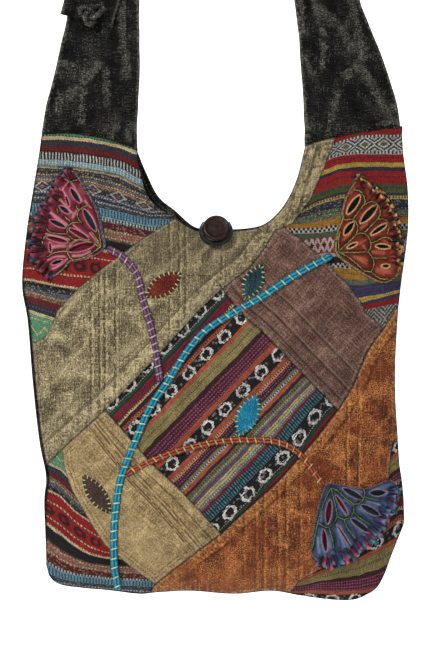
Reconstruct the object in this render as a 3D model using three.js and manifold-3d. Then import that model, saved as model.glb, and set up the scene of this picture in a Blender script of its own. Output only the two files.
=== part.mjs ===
// A patchwork crossbody bag, hanging by its strap. Millimetres, +Z up.
// The patchwork face looks along -Y, and the origin is under the crown of the strap, where it hangs.
// The face is laid out on a drawing sheet: "across" runs to the right and "down" from the sheet's top edge.
import * as THREE from 'three';
import { mergeVertices } from 'three/addons/utils/BufferGeometryUtils.js';
import Module from 'manifold-3d';

const wasm = await Module();
wasm.setup();

// Driving dimensions
const STRAP_DROP = 560; // from the crown of the strap to the lowest point of the mouth
const SHEET = { centre: 216, mouth: 231 }; // the bag's centre line and the mouth's low point on the sheet
const GAP = 0.3; // between pieces that are sewn together
const CLOTH = { base: 1.4, patch: 1.2, back: 2, strap: 3.2 }; // wall thicknesses
const FACE_INSET = { left: 2.6, right: 0.8, bottom: 1.6 }; // how far the back panel shows past the face
const BACK_FULLNESS = 0.92; // the back panel's bulge as a share of the face's
const SIDE_ROUNDING = 3; // power of the face's cross section: higher is flatter with rounder sides
const PATCH_SEAM = 0.2; // taken off each patch all round, so that neighbours don't touch
const VINE = { height: 3.8, step: 10, lift: 0.6 };
const PAD_DEPTH = 5; // flowers and leaves are made this deep, then cut to sit on the cloth
const BUTTON = { across: 216, down: 229, radius: 13.4, thickness: 5, tilt: 24, postRadius: 2.2, postLength: 9 };
const LOOP_RADIUS = 3.1;
const CROWN_RADIUS = 60;
const KNOT = { across: 90, down: 14, size: 3.1, depth: 3, tube: 2.6, tail: 13 };

// The bag's flat outline on the sheet, with the bulge of the face at each level
const TOP = 118;
const FLOOR = 592;
const SIDES = [
  { down: 118, left: 45, right: 402, bulge: 0.4 },
  { down: 150, left: 41, right: 402.5, bulge: 3 },
  { down: 190, left: 34.5, right: 406.5, bulge: 9 },
  { down: 232, left: 28, right: 406, bulge: 15 },
  { down: 285, left: 23, right: 400.5, bulge: 21 },
  { down: 320, left: 29, right: 397, bulge: 25 },
  { down: 380, left: 35, right: 395.5, bulge: 30 },
  { down: 450, left: 43, right: 397, bulge: 34 },
  { down: 490, left: 48, right: 397.8, bulge: 34 },
  { down: 520, left: 45.5, right: 398.2, bulge: 32 },
  { down: 560, left: 46, right: 400.5, bulge: 23 },
  { down: 580, left: 46.5, right: 402, bulge: 13 },
  { down: 592, left: 46.5, right: 402.5, bulge: 0 },
];
const HEM = [
  { across: 46, down: 560 }, { across: 50, down: 573 }, { across: 60, down: 581 }, { across: 78, down: 585.5 },
  { across: 110, down: 590 }, { across: 140, down: 594 }, { across: 158, down: 591 }, { across: 190, down: 590 },
  { across: 235, down: 593 }, { across: 272, down: 590 }, { across: 300, down: 594 }, { across: 335, down: 599 },
  { across: 355, down: 598 }, { across: 368, down: 592.5 }, { across: 376, down: 586 }, { across: 382, down: 574 },
  { across: 387, down: 559 }, { across: 394, down: 541 }, { across: 402.5, down: 522 },
];
const MOUTH_FRONT = [
  { across: 136.5, down: 149 }, { across: 140, down: 172 }, { across: 149, down: 198 }, { across: 170, down: 215 },
  { across: 195, down: 230 }, { across: 216, down: 231 }, { across: 245, down: 230 }, { across: 266, down: 224 },
  { across: 284, down: 206 }, { across: 296, down: 182 }, { across: 302, down: 160 }, { across: 305, down: 146 },
];
const MOUTH_BACK = [
  { across: 136.5, down: 149 }, { across: 144.5, down: 171 }, { across: 155, down: 195 }, { across: 173, down: 211 },
  { across: 195, down: 227 }, { across: 216, down: 229 }, { across: 245, down: 228.5 }, { across: 266, down: 223 },
  { across: 284, down: 205 }, { across: 296, down: 181 }, { across: 302, down: 159 }, { across: 305, down: 146 },
];
const SEAM_LEFT = [
  { across: 43.8, down: 132 }, { across: 70, down: 133.5 }, { across: 100, down: 138 }, { across: 120, down: 143.5 },
  { across: 136.5, down: 149 },
];
const SEAM_RIGHT = [
  { across: 305, down: 146 }, { across: 320, down: 141 }, { across: 340, down: 136.5 }, { across: 360, down: 132 },
  { across: 380, down: 128.5 }, { across: 402.3, down: 126 },
];

// Soft folds of the hanging cloth: ridges stand out of the face, dents go in
const FOLDS = [
  { name: 'rust side ridge', across: 374, down: 390, lean: 88, length: 90, width: 17, rise: 3 },
  { name: 'rust side dent', across: 346, down: 430, lean: 84, length: 90, width: 22, rise: -2 },
  { name: 'olive side dent', across: 66, down: 400, lean: 58, length: 110, width: 20, rise: -2.5 },
  { name: 'olive side ridge', across: 92, down: 360, lean: 70, length: 110, width: 22, rise: 2 },
  { name: 'right shoulder dent', across: 320, down: 236, lean: 80, length: 70, width: 18, rise: -2.2 },
  { name: 'left shoulder ridge', across: 120, down: 195, lean: 60, length: 80, width: 22, rise: 1.8 },
  { name: 'hem roll', across: 230, down: 566, lean: 2, length: 260, width: 16, rise: 2.4 },
];
const PINCH = { depth: 0.62, across: 34, down: 46 }; // the closed button draws the mouth together

// Patches sewn over the base cloth, as corners on the sheet; those past the outline are trimmed by it
const PATCHES = [
  {
    name: 'olive_yoke_patch', colour: 0x7d6c48,
    outline: [
      [182, 200], [177, 217], [160, 227.5], [140, 240], [124, 252.5], [100, 270], [78, 288], [57, 311], [50.5, 328],
      [44, 338], [15, 350], [30, 470], [46, 464], [62, 449], [105, 410], [150, 364], [200, 309], [222, 289],
      [250, 267], [265, 247], [275, 230], [292, 224], [310, 200], [321, 175], [327, 160], [338, 130], [290, 120],
    ],
  },
  {
    name: 'maroon_patch', colour: 0x5d3d36,
    outline: [
      [222, 289], [250, 267], [265, 247], [275, 230], [284, 227], [302, 240], [325, 260], [345, 281], [362, 303],
      [366, 312], [384, 328.5], [375, 340], [367, 353], [352, 388], [338, 410], [300, 371], [262, 331], [245, 317],
    ],
  },
  {
    name: 'centre_woven_patch', colour: 0x4a3436,
    outline: [
      [222, 289], [245, 317], [262, 331], [300, 371], [338, 410], [315, 440], [280, 480], [240, 516], [221, 534],
      [180, 490], [150, 462], [105, 410], [150, 364], [200, 309],
    ],
  },
  {
    name: 'khaki_patch', colour: 0x8d7347,
    outline: [
      [105, 410], [150, 462], [180, 490], [221, 534], [190, 557], [155, 584.5], [135, 570], [118, 556.5], [105, 545],
      [92, 525], [80, 505], [72, 490], [64, 468], [62, 449],
    ],
  },
  {
    name: 'rust_patch', colour: 0x7f4115,
    outline: [
      [155, 584.5], [190, 557], [221, 534], [240, 516], [280, 480], [315, 440], [338, 410], [352, 388], [367, 353],
      [375, 340], [384, 328.5], [395, 309], [415, 300], [415, 424], [393, 442], [390.5, 460], [389, 480], [378, 515],
      [350, 550], [318, 571], [300, 581], [282, 602], [144, 602],
    ],
  },
];

// The base cloths under the patches, split where the patches hide their seams
const BASE_SPLIT = { across: 216, down: 372 };
const BASES = [
  { name: 'left_woven_base', colour: 0x6b4244, left: -20, right: BASE_SPLIT.across, top: 90, bottom: 640 },
  { name: 'right_woven_base', colour: 0x702c2b, left: BASE_SPLIT.across, right: 450, top: 90, bottom: BASE_SPLIT.down },
  { name: 'corner_woven_base', colour: 0x5c3437, left: BASE_SPLIT.across, right: 450, top: BASE_SPLIT.down, bottom: 640 },
];

// The black back in quarters, cut on the same lines
const BACKS = [
  { name: 'back_upper_left', left: -20, right: BASE_SPLIT.across, top: 90, bottom: BASE_SPLIT.down },
  { name: 'back_upper_right', left: BASE_SPLIT.across, right: 450, top: 90, bottom: BASE_SPLIT.down },
  { name: 'back_lower_left', left: -20, right: BASE_SPLIT.across, top: BASE_SPLIT.down, bottom: 640 },
  { name: 'back_lower_right', left: BASE_SPLIT.across, right: 450, top: BASE_SPLIT.down, bottom: 640 },
];

// Fan-shaped flowers: the reach of the rim at each bearing from the tip, counted from "across" towards "up"
const FLOWERS = [
  {
    name: 'burgundy_flower', colour: 0x6e2439, tip: [104, 248], hub: [62, 228], on: 'base', petals: 6,
    rim: [
      { bearing: 104, reach: 58 }, { bearing: 112, reach: 86 }, { bearing: 123, reach: 83 }, { bearing: 141, reach: 73 },
      { bearing: 160, reach: 71 }, { bearing: 178, reach: 73 }, { bearing: 194, reach: 69 }, { bearing: 209, reach: 62 },
    ],
  },
  {
    name: 'russet_flower', colour: 0x7c2a1a, tip: [337, 253], hub: [370, 232], on: 'base', petals: 6,
    rim: [
      { bearing: -38, reach: 48 }, { bearing: -27, reach: 62 }, { bearing: -8, reach: 65 }, { bearing: 12, reach: 63 },
      { bearing: 35, reach: 68 }, { bearing: 54, reach: 74 }, { bearing: 70, reach: 79 }, { bearing: 77, reach: 80 },
      { bearing: 84, reach: 60 },
    ],
  },
  {
    name: 'blue_flower', colour: 0x3d4a6b, tip: [325, 484], hub: [352, 518], on: 'patch', petals: 6,
    rim: [
      { bearing: -104, reach: 62 }, { bearing: -95, reach: 85 }, { bearing: -84, reach: 86 }, { bearing: -68, reach: 81 },
      { bearing: -50, reach: 76 }, { bearing: -34, reach: 73 }, { bearing: -18, reach: 72.5 }, { bearing: 1, reach: 71 },
    ],
  },
];
const FLOWER = { rimThickness: 2, rise: 3, ruffle: 1.2, ruffles: 11, rays: 30, rings: 4 };

// Leaves: a pointed oval between two tips
const LEAVES = [
  { name: 'red_leaf', colour: 0x6f1f12, from: [149, 295.5], to: [181, 274], width: 19, on: 'patch' },
  { name: 'teal_leaf', colour: 0x1d3f48, from: [246, 298.5], to: [261.5, 265.5], width: 18.5, on: 'patch' },
  { name: 'turquoise_leaf', colour: 0x1f7f96, from: [239.5, 434], to: [256, 395], width: 20, on: 'patch' },
  { name: 'brown_leaf', colour: 0x35211b, from: [83, 475.5], to: [110, 513.5], width: 16.5, on: 'patch' },
];
const LEAF = { edge: 1.1, rise: 0.9, rays: 18, rings: 2 };

// Stuffed cloth vines, from a flower's tip along the face
const VINES = [
  {
    name: 'turquoise_vine', colour: 0x1f7c94, width: 8.2,
    route: [
      [332, 255.5], [302, 271], [281, 284], [262, 296.7], [232, 313.5], [205, 331], [186, 353], [169, 379.5],
      [150, 408], [138, 435], [127, 461.5], [120.2, 481], [115.8, 508], [114, 535], [114, 565], [117.5, 585.5],
    ],
  },
  {
    name: 'purple_vine', colour: 0x4a2b48, width: 7.2,
    route: [[109.5, 250.5], [121, 256], [133, 268], [139, 281], [143, 299], [149, 320], [154.5, 344], [159.2, 374.5]],
  },
  {
    name: 'orange_vine', colour: 0x7a3413, width: 7,
    route: [[130.5, 471], [140, 466.5], [155, 459.5], [172, 453], [191, 447.5], [212, 442.5], [232, 440.5],
      [252, 440], [268, 440.5], [282, 443.5], [296, 451], [308, 463], [320.5, 481]],
  },
];

// Strap sections: where the middle of the band lies, how wide it is, and how far it has turned edge-on
const STRAP_RIGHT_LEG = [
  { x: 138, y: 0, z: -485, width: 97, turn: 0 }, { x: 136, y: 0, z: -455, width: 96, turn: 0 },
  { x: 134, y: 0, z: -432, width: 94.5, turn: 0 }, { x: 126.5, y: 0, z: -392, width: 84.5, turn: 0 },
  { x: 118.5, y: 0, z: -358, width: 74, turn: 0 }, { x: 110.5, y: 0, z: -329, width: 65, turn: 0 },
  { x: 98, y: 0, z: -272, width: 58, turn: 8 }, { x: 84, y: 0, z: -205, width: 55, turn: 38 },
  { x: 71, y: 0, z: -135, width: 55, turn: 74 },
];
const STRAP_LEFT_LEG = [
  { x: -71, y: 0, z: -135, width: 55, turn: 74 }, { x: -86, y: -0.6, z: -195, width: 55, turn: 38 },
  { x: -102, y: -3.4, z: -250, width: 55, turn: 8 }, { x: -112, y: -4.3, z: -284, width: 54.5, turn: 0 },
  { x: -124, y: -4.4, z: -329, width: 54, turn: 0 }, { x: -128.5, y: -4.4, z: -346, width: 54, turn: 0 },
];
const STRAP_TIE_LEG = [
  { x: -126, y: 0, z: -485, width: 94.5, turn: 0 }, { x: -125, y: 0, z: -455, width: 92.5, turn: 0 },
  { x: -121.5, y: 0, z: -428, width: 89, turn: 0 }, { x: -117, y: 0, z: -392, width: 82.5, turn: 0 },
  { x: -113.5, y: 0, z: -355, width: 73.8, turn: 0 }, { x: -111, y: 0.1, z: -325, width: 68, turn: 0 },
  { x: -110, y: 0.2, z: -292, width: 58, turn: 0 },
];
const STRAP_STEP = 24;
const CROWN_STEPS = 9;
const STRAP_EDGE = 1.2; // the band's edges are folded round over this width
const BUTTON_LOOP = [
  { x: 12.5, y: 3.2, down: 240 }, { x: 13, y: 2.8, down: 234 }, { x: 13.8, y: 0.5, down: 227 },
  { x: 14.6, y: -4.5, down: 223.4 }, { x: 15.4, y: -10.8, down: 224.6 }, { x: 15.8, y: -14.9, down: 230.6 },
  { x: 12.6, y: -15.4, down: 239 }, { x: 6.6, y: -15.4, down: 243.4 }, { x: 0, y: -15.4, down: 244.4 },
];

// Sheet to model
const toX = (across) => across - SHEET.centre;
const toZ = (down) => SHEET.mouth - STRAP_DROP - down;
const asRow = ([across, down]) => ({ across, down });
const radians = THREE.MathUtils.degToRad;

// A smooth value between table rows, by cubic pieces through every row.
function smoothValue(rows, key, value) {
  const last = rows.length - 1;
  const slope = (k) => {
    const before = rows[Math.max(k - 1, 0)];
    const after = rows[Math.min(k + 1, last)];
    return (after[value] - before[value]) / (after[key] - before[key]);
  };
  return (at) => {
    const x = THREE.MathUtils.clamp(at, rows[0][key], rows[last][key]);
    let k = 0;
    while (k < last - 1 && x > rows[k + 1][key]) k += 1;
    const span = rows[k + 1][key] - rows[k][key];
    const t = (x - rows[k][key]) / span;
    const start = (1 + 2 * t) * (1 - t) ** 2 * rows[k][value] + t * (1 - t) ** 2 * span * slope(k);
    return start + t * t * (3 - 2 * t) * rows[k + 1][value] + t * t * (t - 1) * span * slope(k + 1);
  };
}

const leftAt = smoothValue(SIDES, 'down', 'left');
const rightAt = smoothValue(SIDES, 'down', 'right');
const bulgeAt = smoothValue(SIDES, 'down', 'bulge');
const hemAt = smoothValue(HEM, 'across', 'down');

// How much of the hem's wave a level takes: none in the upper part, all of it at the hem.
const hemShare = (level) => THREE.MathUtils.smoothstep((level - TOP) / (FLOOR - TOP), 0.6, 1);

// The sheet point at a share of the width (-1 to 1) and a level (TOP to FLOOR).
function sheetPoint(share, level) {
  const across = THREE.MathUtils.lerp(leftAt(level), rightAt(level), (share + 1) / 2);
  return { across, down: level + hemShare(level) * (hemAt(across) - FLOOR) };
}

// The share and level of a sheet point.
function locate(across, down) {
  let level = down;
  for (let turn = 0; turn < 8; turn += 1) level = down - hemShare(level) * (hemAt(across) - FLOOR);
  const share = (2 * (across - leftAt(level))) / (rightAt(level) - leftAt(level)) - 1;
  return { share, level };
}

function foldRise(across, down) {
  return FOLDS.reduce((sum, fold) => {
    const dx = across - fold.across;
    const up = fold.down - down;
    const along = dx * Math.cos(radians(fold.lean)) + up * Math.sin(radians(fold.lean));
    const aside = -dx * Math.sin(radians(fold.lean)) + up * Math.cos(radians(fold.lean));
    return sum + fold.rise * Math.exp(-((aside / fold.width) ** 2) - ((along / (fold.length / 2)) ** 2));
  }, 0);
}

// How far the cloth's inner face stands off the plane of the side seams.
function bulge(across, down, share, level) {
  const side = Math.max(0, 1 - Math.abs(share) ** SIDE_ROUNDING);
  const pinch = PINCH.depth * Math.exp(
    -(((across - SHEET.centre) / PINCH.across) ** 2) - ((down - SHEET.mouth) / PINCH.down) ** 2,
  );
  const fade = Math.min(1, side * 2) * THREE.MathUtils.smoothstep(bulgeAt(level), 0, 14);
  return Math.max(0, bulgeAt(level) * side * (1 - pinch) + foldRise(across, down) * fade);
}

// The face and the back are made on one grid, closer together towards the sides and the hem.
const GRID = { columns: 18, rows: 17 };
const columnShare = (i) => {
  const s = (2 * i) / GRID.columns - 1;
  return s * (1.25 - 0.25 * s * s);
};
const rowLevel = (j) => {
  const s = j / GRID.rows;
  return TOP + s * (1.35 - 0.35 * s) * (FLOOR - TOP);
};
const NODES = Array.from({ length: GRID.columns + 1 }, (_, i) => (
  Array.from({ length: GRID.rows + 1 }, (__, j) => {
    const share = columnShare(i);
    const level = rowLevel(j);
    const point = sheetPoint(share, level);
    return { ...point, bulge: bulge(point.across, point.down, share, level) };
  })
));

// The bulge of the faceted cloth at any sheet point, read from the grid's triangles.
function facetBulge(across, down) {
  const { share, level } = locate(across, down);
  let i = 0;
  while (i < GRID.columns - 1 && share > columnShare(i + 1)) i += 1;
  let j = 0;
  while (j < GRID.rows - 1 && level > rowLevel(j + 1)) j += 1;
  const fx = THREE.MathUtils.clamp((share - columnShare(i)) / (columnShare(i + 1) - columnShare(i)), 0, 1);
  const fy = THREE.MathUtils.clamp((level - rowLevel(j)) / (rowLevel(j + 1) - rowLevel(j)), 0, 1);
  const [near, far] = [NODES[i], NODES[i + 1]];
  if (fx >= fy) {
    return near[j].bulge + fx * (far[j].bulge - near[j].bulge) + fy * (far[j + 1].bulge - far[j].bulge);
  }
  return near[j].bulge + fy * (near[j + 1].bulge - near[j].bulge) + fx * (far[j + 1].bulge - near[j + 1].bulge);
}

// Geometry helpers
function meshGeometry(points, triangles) {
  const geometry = new THREE.BufferGeometry().setFromPoints(points);
  geometry.setIndex(triangles);
  return geometry;
}

function toSolid(geometry) {
  const bare = geometry.clone();
  bare.deleteAttribute('normal');
  bare.deleteAttribute('uv');
  const merged = mergeVertices(bare, 1e-4);
  return new wasm.Manifold(new wasm.Mesh({
    numProp: 3,
    vertProperties: new Float32Array(merged.attributes.position.array),
    triVerts: new Uint32Array(merged.index.array),
  }));
}

function toGeometry(solid) {
  const mesh = solid.getMesh();
  const geometry = new THREE.BufferGeometry();
  geometry.setAttribute('position', new THREE.BufferAttribute(new Float32Array(mesh.vertProperties), 3));
  geometry.setIndex(new THREE.BufferAttribute(new Uint32Array(mesh.triVerts), 1));
  return geometry;
}

// A prism through the whole bag over a closed outline of sheet points.
function prism(outline) {
  const reach = 90;
  const shape = new THREE.Shape(outline.map((p) => new THREE.Vector2(toX(p.across), toZ(p.down))));
  const geometry = new THREE.ExtrudeGeometry(shape, { depth: 2 * reach, bevelEnabled: false });
  geometry.rotateX(Math.PI / 2);
  geometry.translate(0, reach, 0);
  return toSolid(geometry);
}

// A closed sheet of cloth over the whole grid, between two offsets out of the inner face. Facing -1 is front.
function clothSheet(facing, fullness, inner, outer) {
  const points = [];
  const triangles = [];
  const rows = GRID.rows + 1;
  const layer = (GRID.columns + 1) * rows;
  [inner, outer].forEach((offset) => NODES.forEach((column) => column.forEach((node) => {
    const y = facing * (node.bulge * fullness + offset);
    points.push(new THREE.Vector3(toX(node.across), y, toZ(node.down)));
  })));
  const quad = (a, b, c, d) => {
    const order = facing < 0 ? [a, b, c, a, c, d] : [a, c, b, a, d, c];
    triangles.push(...order);
  };
  for (let i = 0; i < GRID.columns; i += 1) {
    for (let j = 0; j < GRID.rows; j += 1) {
      const [a, b, c, d] = [i * rows + j, (i + 1) * rows + j, (i + 1) * rows + j + 1, i * rows + j + 1];
      quad(a, b, c, d);
      // The outer layer turns the other way round, with the same diagonal.
      quad(layer + a, layer + d, layer + c, layer + b);
    }
  }
  const wall = (a, b) => quad(a, layer + a, layer + b, b);
  for (let i = 0; i < GRID.columns; i += 1) {
    wall(i * rows, (i + 1) * rows);
    wall((i + 1) * rows + GRID.rows, i * rows + GRID.rows);
  }
  for (let j = 0; j < GRID.rows; j += 1) {
    wall(j + 1, j);
    wall(GRID.columns * rows + j, GRID.columns * rows + j + 1);
  }
  return toSolid(meshGeometry(points, triangles));
}

const splinePoints = (rows, count) => (
  new THREE.SplineCurve(rows.map((p) => new THREE.Vector2(p.across, p.down))).getPoints(count)
    .map((p) => ({ across: p.x, down: p.y }))
);

// The bag's outline with its mouth, drawn in from the sides and the hem by the insets.
function panelOutline(mouth, inset) {
  const sideLevels = Array.from({ length: 17 }, (_, k) => THREE.MathUtils.lerp(TOP, FLOOR, k / 16));
  const hemShares = Array.from({ length: 25 }, (_, k) => columnShare((k * GRID.columns) / 24));
  const left = sideLevels.map((level) => sheetPoint(-1, level)).filter((p) => p.down > SEAM_LEFT[0].down + 4);
  const right = sideLevels.map((level) => sheetPoint(1, level)).filter((p) => p.down > SEAM_RIGHT[5].down + 4);
  const hem = hemShares.map((share) => sheetPoint(share, FLOOR)).slice(1, -1);
  const shifted = (points, across, down) => points.map((p) => ({ across: p.across + across, down: p.down + down }));
  return [
    ...shifted(splinePoints(SEAM_LEFT, 8).slice(0, 1), inset.left, 0),
    ...splinePoints(SEAM_LEFT, 8).slice(1, -1),
    ...splinePoints(mouth, 22),
    ...splinePoints(SEAM_RIGHT, 8).slice(1, -1),
    ...shifted(splinePoints(SEAM_RIGHT, 8).slice(-1), -inset.right, 0),
    ...shifted(right, -inset.right, 0).slice(0, -1),
    ...shifted(hem, 0, -inset.bottom).reverse().filter((p) => p.across > leftAt(FLOOR) + inset.left),
    ...shifted(left, inset.left, 0).slice(0, -1).reverse(),
  ];
}

// Draws a closed outline in by an even amount.
function drawnIn(outline, amount) {
  const area = outline.reduce((sum, p, k) => {
    const q = outline[(k + 1) % outline.length];
    return sum + p.across * q.down - q.across * p.down;
  }, 0);
  return outline.map((p, k) => {
    const before = outline[(k + outline.length - 1) % outline.length];
    const after = outline[(k + 1) % outline.length];
    const into = new THREE.Vector2(p.across - before.across, p.down - before.down).normalize();
    const outOf = new THREE.Vector2(after.across - p.across, after.down - p.down).normalize();
    const bend = into.add(outOf).normalize();
    const turn = Math.sign(area) * amount;
    return { across: p.across - bend.y * turn, down: p.down + bend.x * turn };
  });
}

const insideOutline = (outline, across, down) => outline.reduce((inside, p, k) => {
  const q = outline[(k + 1) % outline.length];
  if ((p.down > down) === (q.down > down)) return inside;
  const crossing = p.across + ((down - p.down) / (q.down - p.down)) * (q.across - p.across);
  return across < crossing ? !inside : inside;
}, false);

const patchOutlines = PATCHES.map((patch) => patch.outline.map(asRow));
const BARE = CLOTH.base;
const PATCHED = CLOTH.base + GAP + CLOTH.patch;

// The outer face of the cloth at a sheet point, on the patches wherever one is within a vine's step.
function outerOffset(across, down) {
  const around = Array.from({ length: 8 }, (_, k) => radians(45 * k));
  const reach = VINE.step + 0.5;
  const near = (outline) => insideOutline(outline, across, down) || around.some(
    (angle) => insideOutline(outline, across + reach * Math.cos(angle), down + reach * Math.sin(angle)),
  );
  return patchOutlines.some(near) ? PATCHED : BARE;
}

const facePoint = (across, down, offset) => new THREE.Vector3(
  toX(across),
  -(facetBulge(across, down) + offset),
  toZ(down),
);

// A padded shape on the face: rings of an outline drawn in to its hub, domed on top.
function pad(outline, hub, rings, offset, heightAt) {
  const points = [];
  const rays = outline.length;
  const ring = (layer, k, ray) => {
    const p = outline[ray % rays];
    const inward = k / rings;
    const across = THREE.MathUtils.lerp(p.across, hub.across, inward);
    const down = THREE.MathUtils.lerp(p.down, hub.down, inward);
    const height = layer === 0 ? -PAD_DEPTH : heightAt(inward, ray);
    return facePoint(across, down, offset + height);
  };
  [0, 1].forEach((layer) => {
    for (let k = 0; k < rings; k += 1) {
      for (let ray = 0; ray < rays; ray += 1) points.push(ring(layer, k, ray));
    }
    points.push(ring(layer, rings, 0));
  });
  const count = rays * rings + 1;
  const triangles = [];
  for (let ray = 0; ray < rays; ray += 1) {
    const next = (ray + 1) % rays;
    for (let k = 0; k < rings - 1; k += 1) {
      const [a, b, c, d] = [k * rays + ray, k * rays + next, (k + 1) * rays + next, (k + 1) * rays + ray];
      triangles.push(a, c, b, a, d, c);
      triangles.push(count + a, count + b, count + c, count + a, count + c, count + d);
    }
    const [a, b] = [(rings - 1) * rays + ray, (rings - 1) * rays + next];
    triangles.push(a, count - 1, b, count + a, count + b, 2 * count - 1);
    triangles.push(ray, next, count + next, ray, count + next, count + ray);
  }
  const under = clothSheet(-1, 1, -3 * PAD_DEPTH, offset);
  return toGeometry(toSolid(facingOut(meshGeometry(points, triangles))).subtract(under));
}

// A closed skin through a row of equal sections, capped at both ends.
function skin(sections) {
  const sides = sections[0].length;
  const triangles = [];
  for (let k = 0; k < sections.length - 1; k += 1) {
    for (let s = 0; s < sides; s += 1) {
      const [a, b] = [k * sides + s, k * sides + ((s + 1) % sides)];
      triangles.push(a, b, b + sides, a, b + sides, a + sides);
    }
  }
  const end = (sections.length - 1) * sides;
  for (let s = 1; s < sides - 1; s += 1) triangles.push(0, s + 1, s, end, end + s, end + s + 1);
  return facingOut(meshGeometry(sections.flat(), triangles));
}

// Turns a closed geometry's faces outwards.
function facingOut(geometry) {
  const position = geometry.attributes.position;
  const index = geometry.index.array;
  const corner = (k) => new THREE.Vector3().fromBufferAttribute(position, index[k]);
  let volume = 0;
  for (let k = 0; k < index.length; k += 3) volume += corner(k).dot(corner(k + 1).cross(corner(k + 2)));
  if (volume < 0) {
    for (let k = 0; k < index.length; k += 3) [index[k + 1], index[k + 2]] = [index[k + 2], index[k + 1]];
  }
  return geometry;
}

// Pieces
const bag = new THREE.Group();
function addPiece(name, geometry, colour, { roughness = 0.9, metalness = 0 } = {}) {
  geometry.computeVertexNormals();
  const mesh = new THREE.Mesh(geometry, new THREE.MeshStandardMaterial({ color: colour, roughness, metalness }));
  mesh.name = name;
  bag.add(mesh);
  return mesh;
}

const STONEWASHED_BLACK = 0x1b1a17;
const faceArea = prism(panelOutline(MOUTH_FRONT, FACE_INSET));
const backArea = prism(panelOutline(MOUTH_BACK, { left: 0, right: 0, bottom: 0 }));

// A prism over one zone of the sheet, drawn in so that neighbouring zones don't touch.
function zonePrism(zone) {
  return prism(drawnIn([
    { across: zone.left, down: zone.top }, { across: zone.right, down: zone.top },
    { across: zone.right, down: zone.bottom }, { across: zone.left, down: zone.bottom },
  ], PATCH_SEAM));
}

function addBases() {
  const cloth = clothSheet(-1, 1, GAP / 2, CLOTH.base).intersect(faceArea);
  BASES.forEach((base) => addPiece(base.name, toGeometry(cloth.intersect(zonePrism(base))), base.colour));
}

function addPatches() {
  const cloth = clothSheet(-1, 1, CLOTH.base + GAP, PATCHED);
  PATCHES.forEach((patch, k) => {
    const area = prism(drawnIn(patchOutlines[k], PATCH_SEAM));
    addPiece(patch.name, toGeometry(cloth.intersect(faceArea).intersect(area)), patch.colour);
  });
}

function addBack() {
  const cloth = clothSheet(1, BACK_FULLNESS, GAP / 2, CLOTH.back).intersect(backArea);
  BACKS.forEach((back) => addPiece(back.name, toGeometry(cloth.intersect(zonePrism(back))), STONEWASHED_BLACK));
}

// The fan's outline: its tip, then the rim, which waves in and out where the cloth is gathered.
function addFlowers() {
  FLOWERS.forEach((flower) => {
    const reachAt = smoothValue(flower.rim, 'bearing', 'reach');
    const [first, last] = [flower.rim[0].bearing, flower.rim.at(-1).bearing];
    const rim = Array.from({ length: FLOWER.rays }, (_, ray) => {
      const share = ray / (FLOWER.rays - 1);
      const bearing = radians(THREE.MathUtils.lerp(first, last, share));
      const wave = FLOWER.ruffle * Math.cos(2 * Math.PI * FLOWER.ruffles * share) - FLOWER.ruffle;
      const reach = reachAt(THREE.MathUtils.lerp(first, last, share)) + wave;
      return {
        across: flower.tip[0] + reach * Math.cos(bearing),
        down: flower.tip[1] - reach * Math.sin(bearing),
      };
    });
    const outline = [asRow(flower.tip), ...rim];
    const height = (inward, ray) => {
      const petal = Math.abs(Math.sin((Math.PI * flower.petals * ray) / FLOWER.rays));
      const gather = inward === 0 ? FLOWER.ruffle * (ray % 2) : 0;
      return FLOWER.rimThickness + gather + FLOWER.rise * Math.sin(Math.PI * Math.min(1, inward * 1.2)) * petal;
    };
    const offset = (flower.on === 'patch' ? PATCHED : BARE) + GAP;
    addPiece(flower.name, pad(outline, asRow(flower.hub), FLOWER.rings, offset, height), flower.colour);
  });
}

function addLeaves() {
  LEAVES.forEach((leaf) => {
    const [from, to] = [new THREE.Vector2(...leaf.from), new THREE.Vector2(...leaf.to)];
    const along = to.clone().sub(from);
    const aside = new THREE.Vector2(-along.y, along.x).normalize();
    const outline = Array.from({ length: LEAF.rays }, (_, ray) => {
      const turn = (2 * Math.PI * ray) / LEAF.rays;
      const share = (1 - Math.cos(turn)) / 2;
      const half = (leaf.width / 2) * Math.sin(Math.PI * share) * Math.sign(Math.sin(turn));
      const point = from.clone().addScaledVector(along, share).addScaledVector(aside, half);
      return { across: point.x, down: point.y };
    });
    const hub = { across: (from.x + to.x) / 2, down: (from.y + to.y) / 2 };
    const height = (inward) => LEAF.edge + LEAF.rise * Math.sin((Math.PI / 2) * inward);
    addPiece(leaf.name, pad(outline, hub, LEAF.rings, PATCHED + GAP, height), leaf.colour);
  });
}

// A vine's section: flat underneath, domed on top.
const VINE_SECTION = [
  { aside: -0.5, up: 0.35 }, { aside: -0.28, up: 0.95 }, { aside: 0.28, up: 0.95 }, { aside: 0.5, up: 0.35 },
  { aside: 0.38, up: 0 }, { aside: -0.38, up: 0 },
];

// Everything a vine lies on: the base cloth and the patches, thickened outwards by the gap.
function vineBed() {
  const bare = clothSheet(-1, 1, -3 * PAD_DEPTH, BARE + GAP);
  const patched = clothSheet(-1, 1, -3 * PAD_DEPTH, PATCHED + GAP);
  return patchOutlines.reduce((bed, outline) => (
    bed.add(patched.intersect(prism(drawnIn(outline, PATCH_SEAM - GAP))))
  ), bare);
}

function addVines() {
  const bed = vineBed();
  VINES.forEach((vine) => {
    const route = new THREE.SplineCurve(vine.route.map((p) => new THREE.Vector2(...p)));
    const steps = Math.round(route.getLength() / VINE.step);
    const sections = Array.from({ length: steps + 1 }, (_, k) => {
      const at = route.getPointAt(k / steps);
      const along = route.getTangentAt(k / steps);
      return VINE_SECTION.map((s) => {
        const across = at.x - along.y * s.aside * vine.width;
        const down = at.y + along.x * s.aside * vine.width;
        const offset = outerOffset(at.x, at.y) + VINE.lift + s.up * VINE.height;
        return facePoint(across, down, offset);
      });
    });
    addPiece(vine.name, toGeometry(toSolid(skin(sections)).subtract(bed)), vine.colour);
  });
}

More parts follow.
